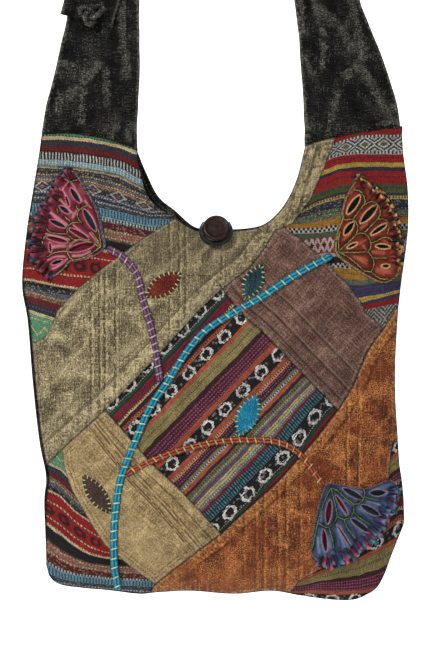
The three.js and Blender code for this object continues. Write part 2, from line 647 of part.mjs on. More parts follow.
// One section of the band: folded edges and a flat front and back.
function bandSection(at, along, width, turn, thickness) {
  const flatwise = new THREE.Vector3(along.z, 0, -along.x).normalize();
  const edgewise = new THREE.Vector3(0, 1, 0);
  const across = flatwise.multiplyScalar(Math.cos(turn)).addScaledVector(edgewise, Math.sin(turn));
  const through = new THREE.Vector3().crossVectors(across, along).normalize();
  const half = width / 2;
  const flat = half - STRAP_EDGE;
  const face = thickness / 2;
  return [[-half, 0], [-flat, face], [0, face], [flat, face], [half, 0], [flat, -face], [0, -face], [-flat, -face]]
    .map(([w, t]) => at.clone().addScaledVector(across, w).addScaledVector(through, t));
}

function band(rows) {
  const route = new THREE.CatmullRomCurve3(rows.map((r) => new THREE.Vector3(r.x, r.y, r.z)), false, 'centripetal');
  const lengths = route.getLengths(400);
  const marks = rows.map((_, k) => ({ mark: lengths[Math.round((400 * k) / (rows.length - 1))], ...rows[k] }));
  const widthAt = smoothValue(marks, 'mark', 'width');
  const turnAt = smoothValue(marks, 'mark', 'turn');
  const total = route.getLength();
  const steps = Math.round(total / STRAP_STEP);
  const sections = Array.from({ length: steps + 1 }, (_, k) => {
    const share = k / steps;
    const mark = total * share;
    return bandSection(route.getPointAt(share), route.getTangentAt(share), widthAt(mark), radians(turnAt(mark)),
      CLOTH.strap);
  });
  return skin(sections);
}

// What lies below a shoulder seam, up to the gap above it.
function belowSeam(seam) {
  const line = splinePoints(seam, 8).map((p) => ({ across: p.across, down: p.down - GAP }));
  const [first, last] = [line[0], line.at(-1)];
  const aside = 40;
  return prism([
    { across: first.across - aside, down: first.down }, ...line, { across: last.across + aside, down: last.down },
    { across: last.across + aside, down: FLOOR }, { across: first.across - aside, down: FLOOR },
  ]);
}

function addStraps() {
  const middle = CROWN_RADIUS + CLOTH.strap / 2;
  const crown = Array.from({ length: CROWN_STEPS }, (_, k) => {
    const angle = (Math.PI * (k + 0.5)) / CROWN_STEPS;
    return {
      x: middle * Math.cos(angle), y: 0, z: middle * Math.sin(angle) - CROWN_RADIUS, width: 55, turn: 90,
    };
  });
  const long = toSolid(band([...STRAP_RIGHT_LEG, ...crown, ...STRAP_LEFT_LEG])).subtract(belowSeam(SEAM_RIGHT));
  addPiece('long_strap', toGeometry(long), STONEWASHED_BLACK);
  const short = toSolid(band(STRAP_TIE_LEG)).subtract(belowSeam(SEAM_LEFT));
  addPiece('short_strap', toGeometry(short), STONEWASHED_BLACK);
}

const circle = (radius, sides) => new THREE.Shape(Array.from({ length: sides }, (_, k) => (
  new THREE.Vector2(radius * Math.cos((2 * Math.PI * k) / sides), radius * Math.sin((2 * Math.PI * k) / sides))
)));

function tube(points, radius, sides, steps) {
  const path = new THREE.CatmullRomCurve3(points, false, 'centripetal');
  return new THREE.ExtrudeGeometry(circle(radius, sides), { steps, extrudePath: path, bevelEnabled: false });
}

// An overhand knot: a three-lobed knot opened at one lobe, with a tail from each end.
function addKnot() {
  const opening = 0.5;
  const start = Math.PI / 3 + opening;
  const turns = 2 * Math.PI - 2 * opening;
  const knotPoint = (t) => new THREE.Vector3(
    KNOT.size * (Math.sin(t) + 2 * Math.sin(2 * t)),
    -KNOT.depth * Math.sin(3 * t),
    KNOT.size * (Math.cos(t) - 2 * Math.cos(2 * t)),
  );
  const loop = Array.from({ length: 25 }, (_, k) => knotPoint(start + (turns * k) / 24));
  const tail = (end, inner, droop) => end.clone()
    .addScaledVector(end.clone().sub(inner).setY(0).normalize(), KNOT.tail).add(new THREE.Vector3(0, 0, droop));
  const route = [tail(loop[0], loop[1], -2), ...loop, tail(loop[24], loop[23], 2)];
  const knot = addPiece('strap_knot', tube(route, KNOT.tube, 6, 36), STONEWASHED_BLACK);
  const strapFront = STRAP_LEFT_LEG.at(-1).y - CLOTH.strap / 2;
  knot.position.set(toX(KNOT.across), strapFront - GAP - KNOT.depth - KNOT.tube, toZ(KNOT.down));
}

// A turned wooden button with a raised rim, on a sewn post behind it.
function addButton() {
  const { radius, thickness, postRadius, postLength } = BUTTON;
  const profile = [
    [0, -postLength], [postRadius, -postLength], [postRadius, 0], [radius - 1.6, 0], [radius, 1.4], [radius, 3.4],
    [radius - 1.4, thickness], [radius - 3.2, thickness - 0.4], [radius - 4.6, thickness - 1.2], [0, thickness - 0.8],
  ].map(([r, h]) => new THREE.Vector2(r, h));
  const button = addPiece('button', new THREE.LatheGeometry(profile, 20), 0x2b1711, { roughness: 0.3 });
  const back = facetBulge(BUTTON.across, BUTTON.down + 5) + PATCHED;
  button.rotation.x = radians(180 - BUTTON.tilt);
  const reach = postLength * Math.cos(radians(BUTTON.tilt)) + postRadius * Math.sin(radians(BUTTON.tilt)) + GAP;
  button.position.set(toX(BUTTON.across), -(back + reach), toZ(BUTTON.down));
}

// The button's cord loop: out of the mouth from the back, over the face's edge and round the post.
function addButtonLoop() {
  const half = BUTTON_LOOP.map((p) => new THREE.Vector3(p.x, p.y, toZ(p.down)));
  const mirrored = half.slice(0, -1).reverse().map((p) => new THREE.Vector3(-p.x, p.y, p.z));
  addPiece('button_loop', tube([...half, ...mirrored], LOOP_RADIUS, 8, 24), 0x17181a);
}

addBases();
addPatches();
addBack();
addFlowers();
addLeaves();
addVines();
addStraps();
addKnot();
addButton();
addButtonLoop();

export default bag;
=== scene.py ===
"""Looks of a patchwork crossbody bag, built around its CAD frame in metres, +Z up, face towards -Y.

Sheet coordinates are millimetres across and down the face; place() puts them on the bulged face.
"""

import math

import bpy
import numpy as np
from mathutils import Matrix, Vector
from mathutils.geometry import delaunay_2d_cdt
from mathutils.kdtree import KDTree


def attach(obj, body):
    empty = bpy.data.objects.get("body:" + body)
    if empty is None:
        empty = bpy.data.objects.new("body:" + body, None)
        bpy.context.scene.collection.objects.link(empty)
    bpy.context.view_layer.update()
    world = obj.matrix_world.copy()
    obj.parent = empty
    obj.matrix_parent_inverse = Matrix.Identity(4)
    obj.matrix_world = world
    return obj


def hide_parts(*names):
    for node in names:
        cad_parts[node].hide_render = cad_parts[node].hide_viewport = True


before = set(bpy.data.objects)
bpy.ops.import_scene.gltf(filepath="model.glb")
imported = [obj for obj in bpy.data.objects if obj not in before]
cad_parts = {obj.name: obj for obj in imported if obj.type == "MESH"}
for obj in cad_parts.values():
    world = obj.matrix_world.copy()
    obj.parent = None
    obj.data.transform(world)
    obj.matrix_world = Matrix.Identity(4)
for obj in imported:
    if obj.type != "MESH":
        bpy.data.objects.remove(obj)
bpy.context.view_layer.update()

MM = 0.001
# The sheet's middle across, and how far its zero lies below the frame's origin.
CENTRE, DROP = 216.0, 329.0
# First and last level of the face, and the spacing of points along cut outlines.
TOP, FLOOR = 118.0, 592.0
CUT_STEP = 1.6

# Side lines of the face: level down, left edge, right edge, bulge.
SIDES = np.array([
    (118, 43.5, 402.5, 0.4), (150, 39.5, 403.5, 3), (190, 33, 408.3, 9), (232, 26.5, 408.3, 15),
    (285, 22, 401.5, 21), (320, 27.5, 398, 25), (380, 32.5, 395.5, 30), (450, 40, 398.5, 34),
    (490, 46, 400, 34), (520, 44.2, 402, 32), (560, 45.2, 404, 23), (580, 46, 404.5, 13), (592, 46, 405, 0),
])
HEM = np.array([
    (45.5, 562), (49, 576), (59, 584.5), (78, 588), (110, 591), (140, 594.5), (158, 593), (190, 591.5),
    (235, 594.5), (272, 591.5), (300, 596), (335, 600.5), (355, 600), (368, 594.5), (377.5, 587.5),
    (384.5, 575), (390, 560), (397, 542), (405, 522),
])
MOUTH_FRONT = [
    (136.5, 149), (140, 172), (149, 198), (170, 215), (195, 230), (216, 231), (245, 230), (266, 224),
    (284, 206), (296, 182), (302, 160), (305, 146),
]
MOUTH_BACK = [
    (136.5, 149), (145, 170), (158, 196), (175, 210.5), (195, 227), (216, 229), (245, 228.5), (266, 223),
    (284, 205), (296, 181), (302, 159), (305, 146),
]
SEAM_LEFT = np.array([(42.2, 132), (70, 133.5), (100, 138), (120, 143.5), (136.5, 149)])
SEAM_RIGHT = np.array([(305, 146), (320, 141), (340, 136.5), (360, 132), (380, 128.5), (403, 126)])

# Broad folds of the face: across, down, lean in degrees, length, width, rise.
FOLDS = [
    (374, 390, 88, 90, 17, 3), (346, 430, 84, 90, 22, -2), (66, 400, 58, 110, 20, -2.5),
    (92, 360, 70, 110, 22, 2), (320, 236, 80, 70, 18, -2.2), (120, 195, 60, 80, 22, 1.8),
    (230, 566, 2, 260, 16, 2.4),
]
# The button pulls the mouth flat: share of the depth lost, half width and half height, place.
PINCH_DEPTH, PINCH_WIDE, PINCH_TALL = 0.62, 34.0, 46.0
PINCH_AT = (216.0, 231.0)
# How far the cut edges stay inside the outline: left, right, bottom.
FACE_INSET = (3.0, 0.4, 0.6)
BACK_INSET = (0, 1.2, 1.0)
# Share of the left inset by how far down: the black back shows only along the middle of that side.
LEFT_SHOW = np.array([(0, 0.12), (265, 0.2), (300, 0.8), (480, 1.0), (520, 0.5), (548, 0.12), (620, 0.12)])
# Room between an outline's seams, sides and hem where they meet.
SEAM_ROOM, HEM_ROOM = 4, 3
# The back bulges and creases less than the face, with creases of its own.
BACK_SHARE, BACK_CREASE, BACK_SHIFT = 0.92, 0.56, 300
# Heights of the layers over the face, and of the back cloth.
BASE_OUT, PATCH_OUT, BACK_OUT = 1.4, 2.9, 2.0


def ease(u):
    return u * u * (3 - 2 * u)


def smooth(x, low, high):
    """0 below low, 1 above high, smooth between."""
    return ease(np.clip((x - low) / (high - low), 0, 1))


def bell(x, half):
    return np.exp(-((x / half) ** 2))


def unit(rows):
    """Rows scaled to length 1."""
    return rows / (np.linalg.norm(rows, axis=1)[:, None] + 1e-12)


def lengths(line):
    """How far along a line each of its points lies."""
    gaps = np.linalg.norm(np.diff(line, axis=0), axis=1)
    return np.concatenate([[0], np.cumsum(gaps)])


def hermite(u, start, end, leave, arrive):
    """A smooth run from start to end, leaving and arriving with the given slopes."""
    first = (1 + 2 * u) * (1 - u) ** 2 * start + u * (1 - u) ** 2 * leave
    return first + (u * u * (3 - 2 * u) * end + u * u * (u - 1) * arrive)


def spline(xs, ys):
    """A smooth function through the given points."""
    slope = np.empty(len(ys))
    slope[1:-1] = (ys[2:] - ys[:-2]) / (xs[2:] - xs[:-2])
    slope[0] = (ys[1] - ys[0]) / (xs[1] - xs[0])
    slope[-1] = (ys[-1] - ys[-2]) / (xs[-1] - xs[-2])

    def at(x):
        x = np.clip(x, xs[0], xs[-1])
        k = np.clip(np.searchsorted(xs, x, side="right") - 1, 0, len(xs) - 2)
        step = xs[k + 1] - xs[k]
        return hermite((x - xs[k]) / step, ys[k], ys[k + 1], step * slope[k], step * slope[k + 1])

    return at


left_at, right_at, depth_at = (spline(SIDES[:, 0], SIDES[:, k]) for k in (1, 2, 3))
hem_at = spline(HEM[:, 0], HEM[:, 1])


def hem_share(level):
    return smooth((level - TOP) / (FLOOR - TOP), 0.6, 1)


def sheet_point(share, level):
    """Sheet place of a share of the width, -1 to 1, at a level of the face."""
    across = left_at(level) + (right_at(level) - left_at(level)) * (share + 1) / 2
    return across, level + hem_share(level) * (hem_at(across) - FLOOR)


def locate(across, down):
    """Share of the width and level of a sheet place, the reverse of sheet_point."""
    level = np.array(down, float)
    for _ in range(8):
        level = down - hem_share(level) * (hem_at(across) - FLOOR)
    left = left_at(level)
    return 2 * (across - left) / (right_at(level) - left) - 1, level


def fold_rise(across, down):
    total = np.zeros_like(across)
    for at, deep, lean, length, width, rise in FOLDS:
        turn = math.radians(lean)
        dx = across - at
        up = deep - down
        along = dx * math.cos(turn) + up * math.sin(turn)
        aside = up * math.cos(turn) - dx * math.sin(turn)
        total += rise * bell(aside, width) * bell(along, length / 2)
    return total


def bulge(across, down):
    """How far the stuffed face stands out of the bag's middle plane."""
    share, level = locate(across, down)
    side = np.maximum(0, 1 - np.abs(share) ** 3)
    deep = depth_at(level)
    pinch = bell(across - PINCH_AT[0], PINCH_WIDE) * bell(down - PINCH_AT[1], PINCH_TALL)
    fold = fold_rise(across, down) * np.minimum(1, 2 * side) * smooth(deep, 0, 14)
    return np.maximum(0, deep * side * (1 - PINCH_DEPTH * pinch) + fold)


class Noise:
    """Smooth seeded value noise on a wrapped lattice, from -1 to 1."""

    SIZE = 128

    def __init__(self, seed):
        self.table = np.random.default_rng(seed).uniform(-1, 1, (self.SIZE, self.SIZE))

    def row(self, x0, y0, u):
        """Values along x between two neighbours of one lattice row."""
        first = self.table[x0 % self.SIZE, y0 % self.SIZE]
        second = self.table[(x0 + 1) % self.SIZE, y0 % self.SIZE]
        return first * (1 - u) + second * u

    def __call__(self, x, y):
        x0 = np.floor(x).astype(int)
        y0 = np.floor(y).astype(int)
        u = ease(x - x0)
        v = ease(y - y0)
        return self.row(x0, y0, u) * (1 - v) + self.row(x0, y0 + 1, u) * v


rumple_noise = Noise(11)


def rumple(across, down):
    """Shared small creases of the whole face, so that layers stay parallel."""
    broad = 0.9 * rumple_noise(across / 34, down / 30)
    fine = 0.4 * rumple_noise(across / 13 + 40, down / 14 + 40)
    return (broad + fine) * np.minimum(1, bulge(across, down) / 8)


def back_rumple(across, down):
    return BACK_CREASE * rumple(across + BACK_SHIFT, down)


def place(across, down, out):
    """Points in metres, out millimetres in front of the face."""
    forward = bulge(across, down) + rumple(across, down) + out
    return np.stack([across - CENTRE, -forward, -DROP - down], axis=1) * MM


def place_back(across, down, out):
    """Points in metres, out millimetres behind the back."""
    behind = BACK_SHARE * bulge(across, down) + back_rumple(across, down) + out
    return np.stack([across - CENTRE, behind, -DROP - down], axis=1) * MM


def put_one(across, down, out):
    return place(np.array([float(across)]), np.array([float(down)]), np.array([float(out)]))[0]


def curve(points, step, closed=False):
    """Points every step along a smooth line through the given ones."""
    p = np.asarray(points, float)
    if closed:
        p = np.vstack([p[-1], p, p[0], p[1]])
    else:
        p = np.vstack([2 * p[0] - p[1], p, 2 * p[-1] - p[-2]])
    u = np.linspace(0, 1, 24, endpoint=False)[:, None]
    runs = []
    for a, b, c, d in zip(p[:-3], p[1:-2], p[2:-1], p[3:]):
        runs.append(hermite(u, b, c, (c - a) / 2, (d - b) / 2))
    runs.append(p[-2][None, :])
    return resample(np.vstack(runs), step)


def resample(line, step):
    """Points about every step along a line."""
    line = np.asarray(line, float)
    run = lengths(line)
    count = max(2, int(round(run[-1] / step)) + 1)
    at = np.linspace(0, run[-1], count)
    return np.stack([np.interp(at, run, column) for column in line.T], axis=1)


def closed_ring(points, step):
    """Even points around a closed outline, the first not repeated."""
    return resample(np.vstack([points, points[:1]]), step)[:-1]


def panel_outline(mouth, inset):
    """Closed outline of the face or the back in sheet coordinates."""
    left_in, right_in, bottom_in = inset
    seam_left = SEAM_LEFT + 0.0
    seam_left[0, 0] += left_in * LEFT_SHOW[0, 1]
    seam_right = SEAM_RIGHT + 0.0
    seam_right[-1, 0] -= right_in
    levels = np.linspace(TOP, FLOOR, 160)
    right = np.stack(sheet_point(np.ones_like(levels), levels), axis=1)
    right = right[right[:, 1] > seam_right[-1, 1] + SEAM_ROOM] - [right_in, 0]
    left = np.stack(sheet_point(-np.ones_like(levels), levels), axis=1)
    left = left[left[:, 1] > seam_left[0, 1] + SEAM_ROOM]
    left[:, 0] += left_in * np.interp(left[:, 1], LEFT_SHOW[:, 0], LEFT_SHOW[:, 1])
    hem_end = HEM[0, 0] + HEM_ROOM + left_in * LEFT_SHOW[-1, 1]
    across = np.linspace(HEM[-1, 0] - HEM_ROOM - right_in, hem_end, 220)
    hem = np.stack([across, hem_at(across) - bottom_in], axis=1)
    right = right[right[:, 1] < hem[0, 1] - 1]
    left = left[left[:, 1] < hem[-1, 1] - 1]
    seams = [curve(seam_left, CUT_STEP)[:-1], curve(mouth, CUT_STEP)[:-1], curve(seam_right, CUT_STEP)]
    return closed_ring(np.vstack(seams + [right, hem, left[::-1]]), CUT_STEP)


def inside(points, ring):
    """Which points lie within a closed ring."""
    x, y = points.T
    hit = np.zeros(len(points), bool)
    for (x0, y0), (x1, y1) in zip(ring, np.roll(ring, -1, axis=0)):
        if y0 == y1:
            continue
        crossing = (y0 > y) != (y1 > y)
        hit ^= crossing & (x < x0 + (y - y0) * (x1 - x0) / (y1 - y0))
    return hit


def away_line(points, line):
    """Distance of every point from a line of segments."""
    line = np.asarray(line, float)
    best = np.full(len(points), 1e9)
    for p, q in zip(line[:-1], line[1:]):
        run = q - p
        u = np.clip(((points - p) @ run) / max(run @ run, 1e-9), 0, 1)
        gap = points - p - u[:, None] * run
        best = np.minimum(best, gap[:, 0] ** 2 + gap[:, 1] ** 2)
    return np.sqrt(best)


def rim_gap(points, starts, ends, step=0.3):
    """Distance of many points from a long rim, to about a sixth of a millimetre."""
    spots = []
    for p, q, long in zip(starts, ends, np.linalg.norm(ends - starts, axis=1)):
        count = max(1, int(math.ceil(long / step)))
        spots.append(p + (q - p) * (np.arange(count)[:, None] / count))
    spots = np.vstack(spots)
    tree = KDTree(len(spots))
    for k, (x, y) in enumerate(spots):
        tree.insert((x, y, 0.0), k)
    tree.balance()
    return np.array([tree.find((x, y, 0.0))[2] for x, y in points])


class Sheet:
    """Flat triangles of a cut cloth: where every ring covers, with the distance from the cut edge."""

    # Shares of the spacing: between rows, loose shift of points, room left along a cut.
    ROW, LOOSE, ROOM = 0.87, 0.16, 0.55

    def __init__(self, rings, spacing, seed=1):
        starts = np.vstack(rings)
        ends = np.vstack([np.roll(ring, -1, axis=0) for ring in rings])
        grid = self.scatter(rings, spacing, seed)
        grid = grid[rim_gap(grid, starts, ends) > self.ROOM * spacing]
        self.cut(rings, np.vstack([starts, grid]))
        self.find_rim()
        self.across, self.down = self.flat.T
        p, q, r = (self.flat[corner] for corner in self.tris.T)
        self.area = 0.5 * np.abs(np.cross(q - p, r - p)).sum()

    def scatter(self, rings, spacing, seed):
        """Loose rows of points within every ring."""
        low = np.max([ring.min(0) for ring in rings], axis=0)
        high = np.min([ring.max(0) for ring in rings], axis=0)
        rows = np.arange(low[1], high[1], spacing * self.ROW)
        cols = np.arange(low[0], high[0], spacing)
        grid = np.array([(c + (k % 2) * spacing / 2, r) for k, r in enumerate(rows) for c in cols])
        grid += np.random.default_rng(seed).uniform(-self.LOOSE, self.LOOSE, grid.shape) * spacing
        for ring in rings:
            grid = grid[inside(grid, ring)]
        return grid

    def cut(self, rings, points):
        """Triangles between the points, kept where every ring covers."""
        edges = []
        count = 0
        for ring in rings:
            n = len(ring)
            edges += [(count + k, count + (k + 1) % n) for k in range(n)]
            count += n
        verts, _, faces, *_ = delaunay_2d_cdt([Vector(p) for p in points], edges, [], 0, 1e-4)
        flat = np.array([(v.x, v.y) for v in verts])
        tris = np.array([f for f in faces if len(f) == 3])
        middle = flat[tris].mean(axis=1)
        keep = np.all([inside(middle, ring) for ring in rings], axis=0)
        used, compact = np.unique(tris[keep], return_inverse=True)
        self.flat = flat[used]
        self.tris = compact.reshape(-1, 3)

    def find_rim(self):
        """Sides with one triangle only, and every point's distance from them."""
        sides = np.vstack([self.tris[:, pair] for pair in ([0, 1], [1, 2], [2, 0])])
        key = np.sort(sides, axis=1)
        _, first, counts = np.unique(key, axis=0, return_index=True, return_counts=True)
        self.rim = sides[first[counts == 1]]
        self.edge = rim_gap(self.flat, self.flat[self.rim[:, 0]], self.flat[self.rim[:, 1]])
        self.edge[np.unique(self.rim)] = 0.0

    def span(self):
        return self.flat.max(0) - self.flat.min(0)


def quads(count, wide, closed=False, first=0):
    """Faces of a grid of count rows of wide points, its rows closed into loops or open."""
    faces = []
    for k in range(count - 1):
        row = first + k * wide
        for j in range(wide if closed else wide - 1):
            n = (j + 1) % wide
            faces.append((row + j, row + n, row + wide + n, row + wide + j))
    return faces


def build_mesh(name, points, faces, material, attributes):
    """A smooth-shaded mesh object with float attributes, riding on the bag."""
    mesh = bpy.data.meshes.new(name)
    mesh.from_pydata([tuple(p) for p in points], [], [tuple(int(i) for i in f) for f in faces])
    mesh.polygons.foreach_set("use_smooth", [True] * len(mesh.polygons))
    for label, values in attributes.items():
        layer = mesh.attributes.new(label, "FLOAT", "POINT")
        layer.data.foreach_set("value", np.ascontiguousarray(values, dtype=np.float32))
    mesh.validate()
    mesh.update()
    piece = bpy.data.objects.new(name, mesh)
    bpy.context.scene.collection.objects.link(piece)
    mesh.materials.append(material)
    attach(piece, "root")
    return piece


def lay(name, sheet, out, under, material, attributes=None, behind=False):
    """The cloth on the face, or behind the back: at height out, with a skirt to under along its cut edge."""
    put = place_back if behind else place
    top = put(sheet.across, sheet.down, out)
    lip = np.unique(sheet.rim)
    where = np.full(len(sheet.flat), -1)
    where[lip] = len(top) + np.arange(len(lip))
    skirt = put(sheet.across[lip], sheet.down[lip], np.broadcast_to(under, len(sheet.flat))[lip])
    faces = [tuple(t) for t in sheet.tris] + [(i, j, where[j], where[i]) for i, j in sheet.rim]
    if not behind:
        faces = [f[::-1] for f in faces]
    given = {"across": sheet.across, "down": sheet.down, "edge": sheet.edge}
    given.update(attributes or {})
    given = {label: np.concatenate([v, v[lip]]) for label, v in given.items()}
    return build_mesh(name, np.vstack([top, skirt]), faces, material, given)


def rolled(edge, thick, radius):
    """Height lost towards a folded edge."""
    u = np.clip(1 - edge / radius, 0, 1)
    return -thick * (1 - np.sqrt(np.maximum(0, 1 - u * u)))


# Least flat side of a cloth in metres, and least share of its rectangle that it covers.
LEAST_SIDE, LEAST_COVER = 0.012, 0.301


def declare(sheet, slot, nodes):
    """Works out a cloth's flat size and area, which nothing uses, and hides its CAD nodes; slot is not used.
    """
    width, length = (max(LEAST_SIDE, v * MM) for v in sheet.span())
    area = min(max(sheet.area * MM * MM, LEAST_COVER * width * length), width * length)
    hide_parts(*nodes)


def linear(rgb):
    """Linear colour of an sRGB one given in steps of 255."""
    share = [v / 255 for v in rgb]
    return tuple(v / 12.92 if v <= 0.04045 else ((v + 0.055) / 1.055) ** 2.4 for v in share) + (1.0,)


class Field:
    """A shader value with arithmetic; every operation adds one node."""

    def __init__(self, shade, socket):
        self.shade = shade
        self.socket = socket

    def __add__(self, other):
        return self.shade.math("ADD", self, other)

    def __sub__(self, other):
        return self.shade.math("SUBTRACT", self, other)

    def __rsub__(self, other):
        return self.shade.math("SUBTRACT", other, self)

    def __mul__(self, other):
        return self.shade.math("MULTIPLY", self, other)

    def __truediv__(self, other):
        return self.shade.math("DIVIDE", self, other)

    def __lt__(self, other):
        return self.shade.math("LESS_THAN", self, other)

    def __gt__(self, other):
        return self.shade.math("GREATER_THAN", self, other)

    def __abs__(self):
        return self.shade.math("ABSOLUTE", self)

    def high(self, other):
        return self.shade.math("MAXIMUM", self, other)

    def wave(self, half):
        """A triangle wave from 0 to half and back."""
        return self.shade.math("PINGPONG", self, half)

    def snap(self, step):
        return self.shade.math("SNAP", self, step)

    def off_centre(self, pitch):
        """Distance from the nearest whole pitch."""
        return abs(self.shade.math("WRAP", self + pitch / 2, pitch, 0.0) - pitch / 2)

    def ease(self, low, high):
        """0 below low, 1 above high, smooth between."""
        node = self.shade.add("ShaderNodeMapRange", interpolation_type="SMOOTHSTEP")
        self.shade.feed(node.inputs[0], self)
        node.inputs[1].default_value = low
        node.inputs[2].default_value = high
        return Field(self.shade, node.outputs[0])


class Shade:
    """One cloth-like node material, built up from fields."""

    # Most colours that one ramp node is given.
    RAMP_SIZE = 30

    def __init__(self, name):
        self.material = bpy.data.materials.new(name)
        self.material.use_nodes = True
        self.tree = self.material.node_tree
        self.tree.nodes.clear()
        self.bsdf = self.add("ShaderNodeBsdfPrincipled")
        self.tree.links.new(self.bsdf.outputs[0], self.add("ShaderNodeOutputMaterial").inputs[0])
        self.known = {}

    def add(self, kind, **settings):
        node = self.tree.nodes.new(kind)
        for label, value in settings.items():
            setattr(node, label, value)
        return node

    def feed(self, socket, value):
        if isinstance(value, Field):
            self.tree.links.new(value.socket, socket)
        else:
            socket.default_value = value

    def math(self, operation, *values):
        node = self.add("ShaderNodeMath", operation=operation)
        for socket, value in zip(node.inputs, values):
            self.feed(socket, value)
        return Field(self, node.outputs[0])

    def attr(self, label):
        if label not in self.known:
            node = self.add("ShaderNodeAttribute", attribute_name=label)
            self.known[label] = Field(self, node.outputs["Fac"])
        return self.known[label]

    def place(self):
        """The point's own x, y and z in metres."""
        split = self.add("ShaderNodeSeparateXYZ")
        self.tree.links.new(self.add("ShaderNodeTexCoord").outputs["Object"], split.inputs[0])
        return [Field(self, socket) for socket in split.outputs]

    def vector(self, x, y, z=0.0):
        node = self.add("ShaderNodeCombineXYZ")
        for socket, value in zip(node.inputs, (x, y, z)):
            self.feed(socket, value)
        return Field(self, node.outputs[0])

    def noise(self, x, y, z=0.0, detail=2.0):
        node = self.add("ShaderNodeTexNoise")
        self.feed(node.inputs["Vector"], self.vector(x, y, z))
        node.inputs["Scale"].default_value = 1.0
        node.inputs["Detail"].default_value = detail
        return Field(self, node.outputs[0])

    def patchy(self, x, y, z, low, high):
        """Patches of noise: 0 where it is below low, 1 where it is above high."""
        return self.noise(x, y, z).ease(low, high)

    def cells(self, x, y):
        """A random value for every whole cell."""
        node = self.add("ShaderNodeTexWhiteNoise", noise_dimensions="2D")
        self.feed(node.inputs["Vector"], self.vector(x.snap(1.0), y.snap(1.0)))
        return Field(self, node.outputs["Value"])

    def mix(self, share, first, second):
        node = self.add("ShaderNodeMix", data_type="RGBA")
        self.feed(node.inputs[0], share)
        self.feed(node.inputs[6], first)
        self.feed(node.inputs[7], second)
        return Field(self, node.outputs[2])

    def tint(self, colour, amount):
        """The colour times a grey amount."""
        node = self.add("ShaderNodeVectorMath", operation="SCALE")
        self.feed(node.inputs[0], colour if isinstance(colour, Field) else colour[:3])
        self.feed(node.inputs["Scale"], amount)
        return Field(self, node.outputs[0])

    def ramp(self, value, stops, stepped=False):
        """Colours over a value; stops are (value, sRGB), joined in runs that one ramp can hold."""
        result = None
        for first in range(0, len(stops), self.RAMP_SIZE):
            run = stops[first:first + self.RAMP_SIZE]
            low = run[0][0]
            high = run[-1][0] + 1.0
            node = self.add("ShaderNodeValToRGB")
            node.color_ramp.interpolation = "CONSTANT" if stepped else "LINEAR"
            points = node.color_ramp.elements
            while len(points) < len(run):
                points.new(1.0)
            for point, (at, rgb) in zip(points, run):
                point.position = (at - low) / (high - low)
                point.color = linear(rgb)
            self.feed(node.inputs[0], (value - low) / (high - low))
            colour = Field(self, node.outputs[0])
            result = colour if result is None else self.mix(value > low, result, colour)
        return result

    def even_ramp(self, value, stops):
        """Colours spread evenly over a value from 0 to 1."""
        last = len(stops) - 1
        return self.ramp(value, [(k / last, rgb) for k, rgb in enumerate(stops)])

    def near(self, value, centre, half):
        return abs(value - centre) < half

    def line(self, value, at, low, high):
        """1 within low of a value, fading to 0 at high."""
        return 1.0 - abs(value - at).ease(low, high)

    def bump(self, height, strength, distance=0.0006):
        node = self.add("ShaderNodeBump")
        node.inputs["Strength"].default_value = strength
        node.inputs["Distance"].default_value = distance
        self.feed(node.inputs["Height"], height)
        self.tree.links.new(node.outputs[0], self.bsdf.inputs["Normal"])

    def finish(self, colour, rough, specular=0.18, sheen=0.0):
        self.feed(self.bsdf.inputs["Base Color"], colour)
        self.feed(self.bsdf.inputs["Roughness"], rough)
        self.bsdf.inputs["Specular IOR Level"].default_value = specular
        self.bsdf.inputs["Sheen Weight"].default_value = sheen
        return self.material


# Motifs: each returns a mask from the weave coordinates s, down the bands, and t, along them.
def stripe(m, s, t, at, half):
    return m.near(s, at, half)


def dots(m, s, t, at, half, period, duty=0.5, phase=0.0):
    return m.near(s, at, half) * ((t + phase).wave(period / 2) < duty * period / 2)


def lattice(m, s, t, low, high, pitch, line):
    across = t.wave(pitch / 2) / (pitch / 2)
    share = (s - low) / (high - low)
    first = abs(across - share) < line
    second = abs(across + share - 1.0) < line
    return first.high(second) * m.near(s, (low + high) / 2, (high - low) / 2)


def diamonds(m, s, t, at, half, pitch, reach, phase=0.0):
    return (t + phase).off_centre(pitch) / reach + abs(s - at) / half < 1.0


def nested(m, s, t, at, half, pitch, step):
    """Diamonds within diamonds, side by side along a band."""
    gap = t.off_centre(pitch) / (pitch / 2) + abs(s - at) / half
    return (gap.wave(step) < step * 0.5) * m.near(s, at, half)


def rings(m, s, t, at, half, pitch, reach, inner, phase, steps, uneven):
    """Flat-sided rings with ragged edges, which go out and in by uneven from step to step."""
    across = (t + phase).off_centre(pitch) / reach
    ragged = s + (m.cells(s * steps[0], t * steps[1]) - 0.5) * uneven
    deep = abs(ragged - at) / half
    gap = (across + deep * 0.45).high(deep)
    return (gap < 1.0) * (gap > inner)


def specks(m, s, t, at, half):
    return m.near(s, at, half) * (m.cells(s * 0.5, t * 0.4) > 0.86) * 0.6


def zigzag(m, s, t, at, rise, period, width):
    return abs(s - at - (t.wave(period / 2) / (period / 2) - 0.5) * (2 * rise)) < width


# Colours that lie over every woven cloth: its dust, its light flecks and its dark ones.
DUST, LIGHT_FLECK, DARK_FLECK = (74, 66, 60), (196, 184, 160), (34, 28, 28)
# Height of a woven row.
ROW = 2.1


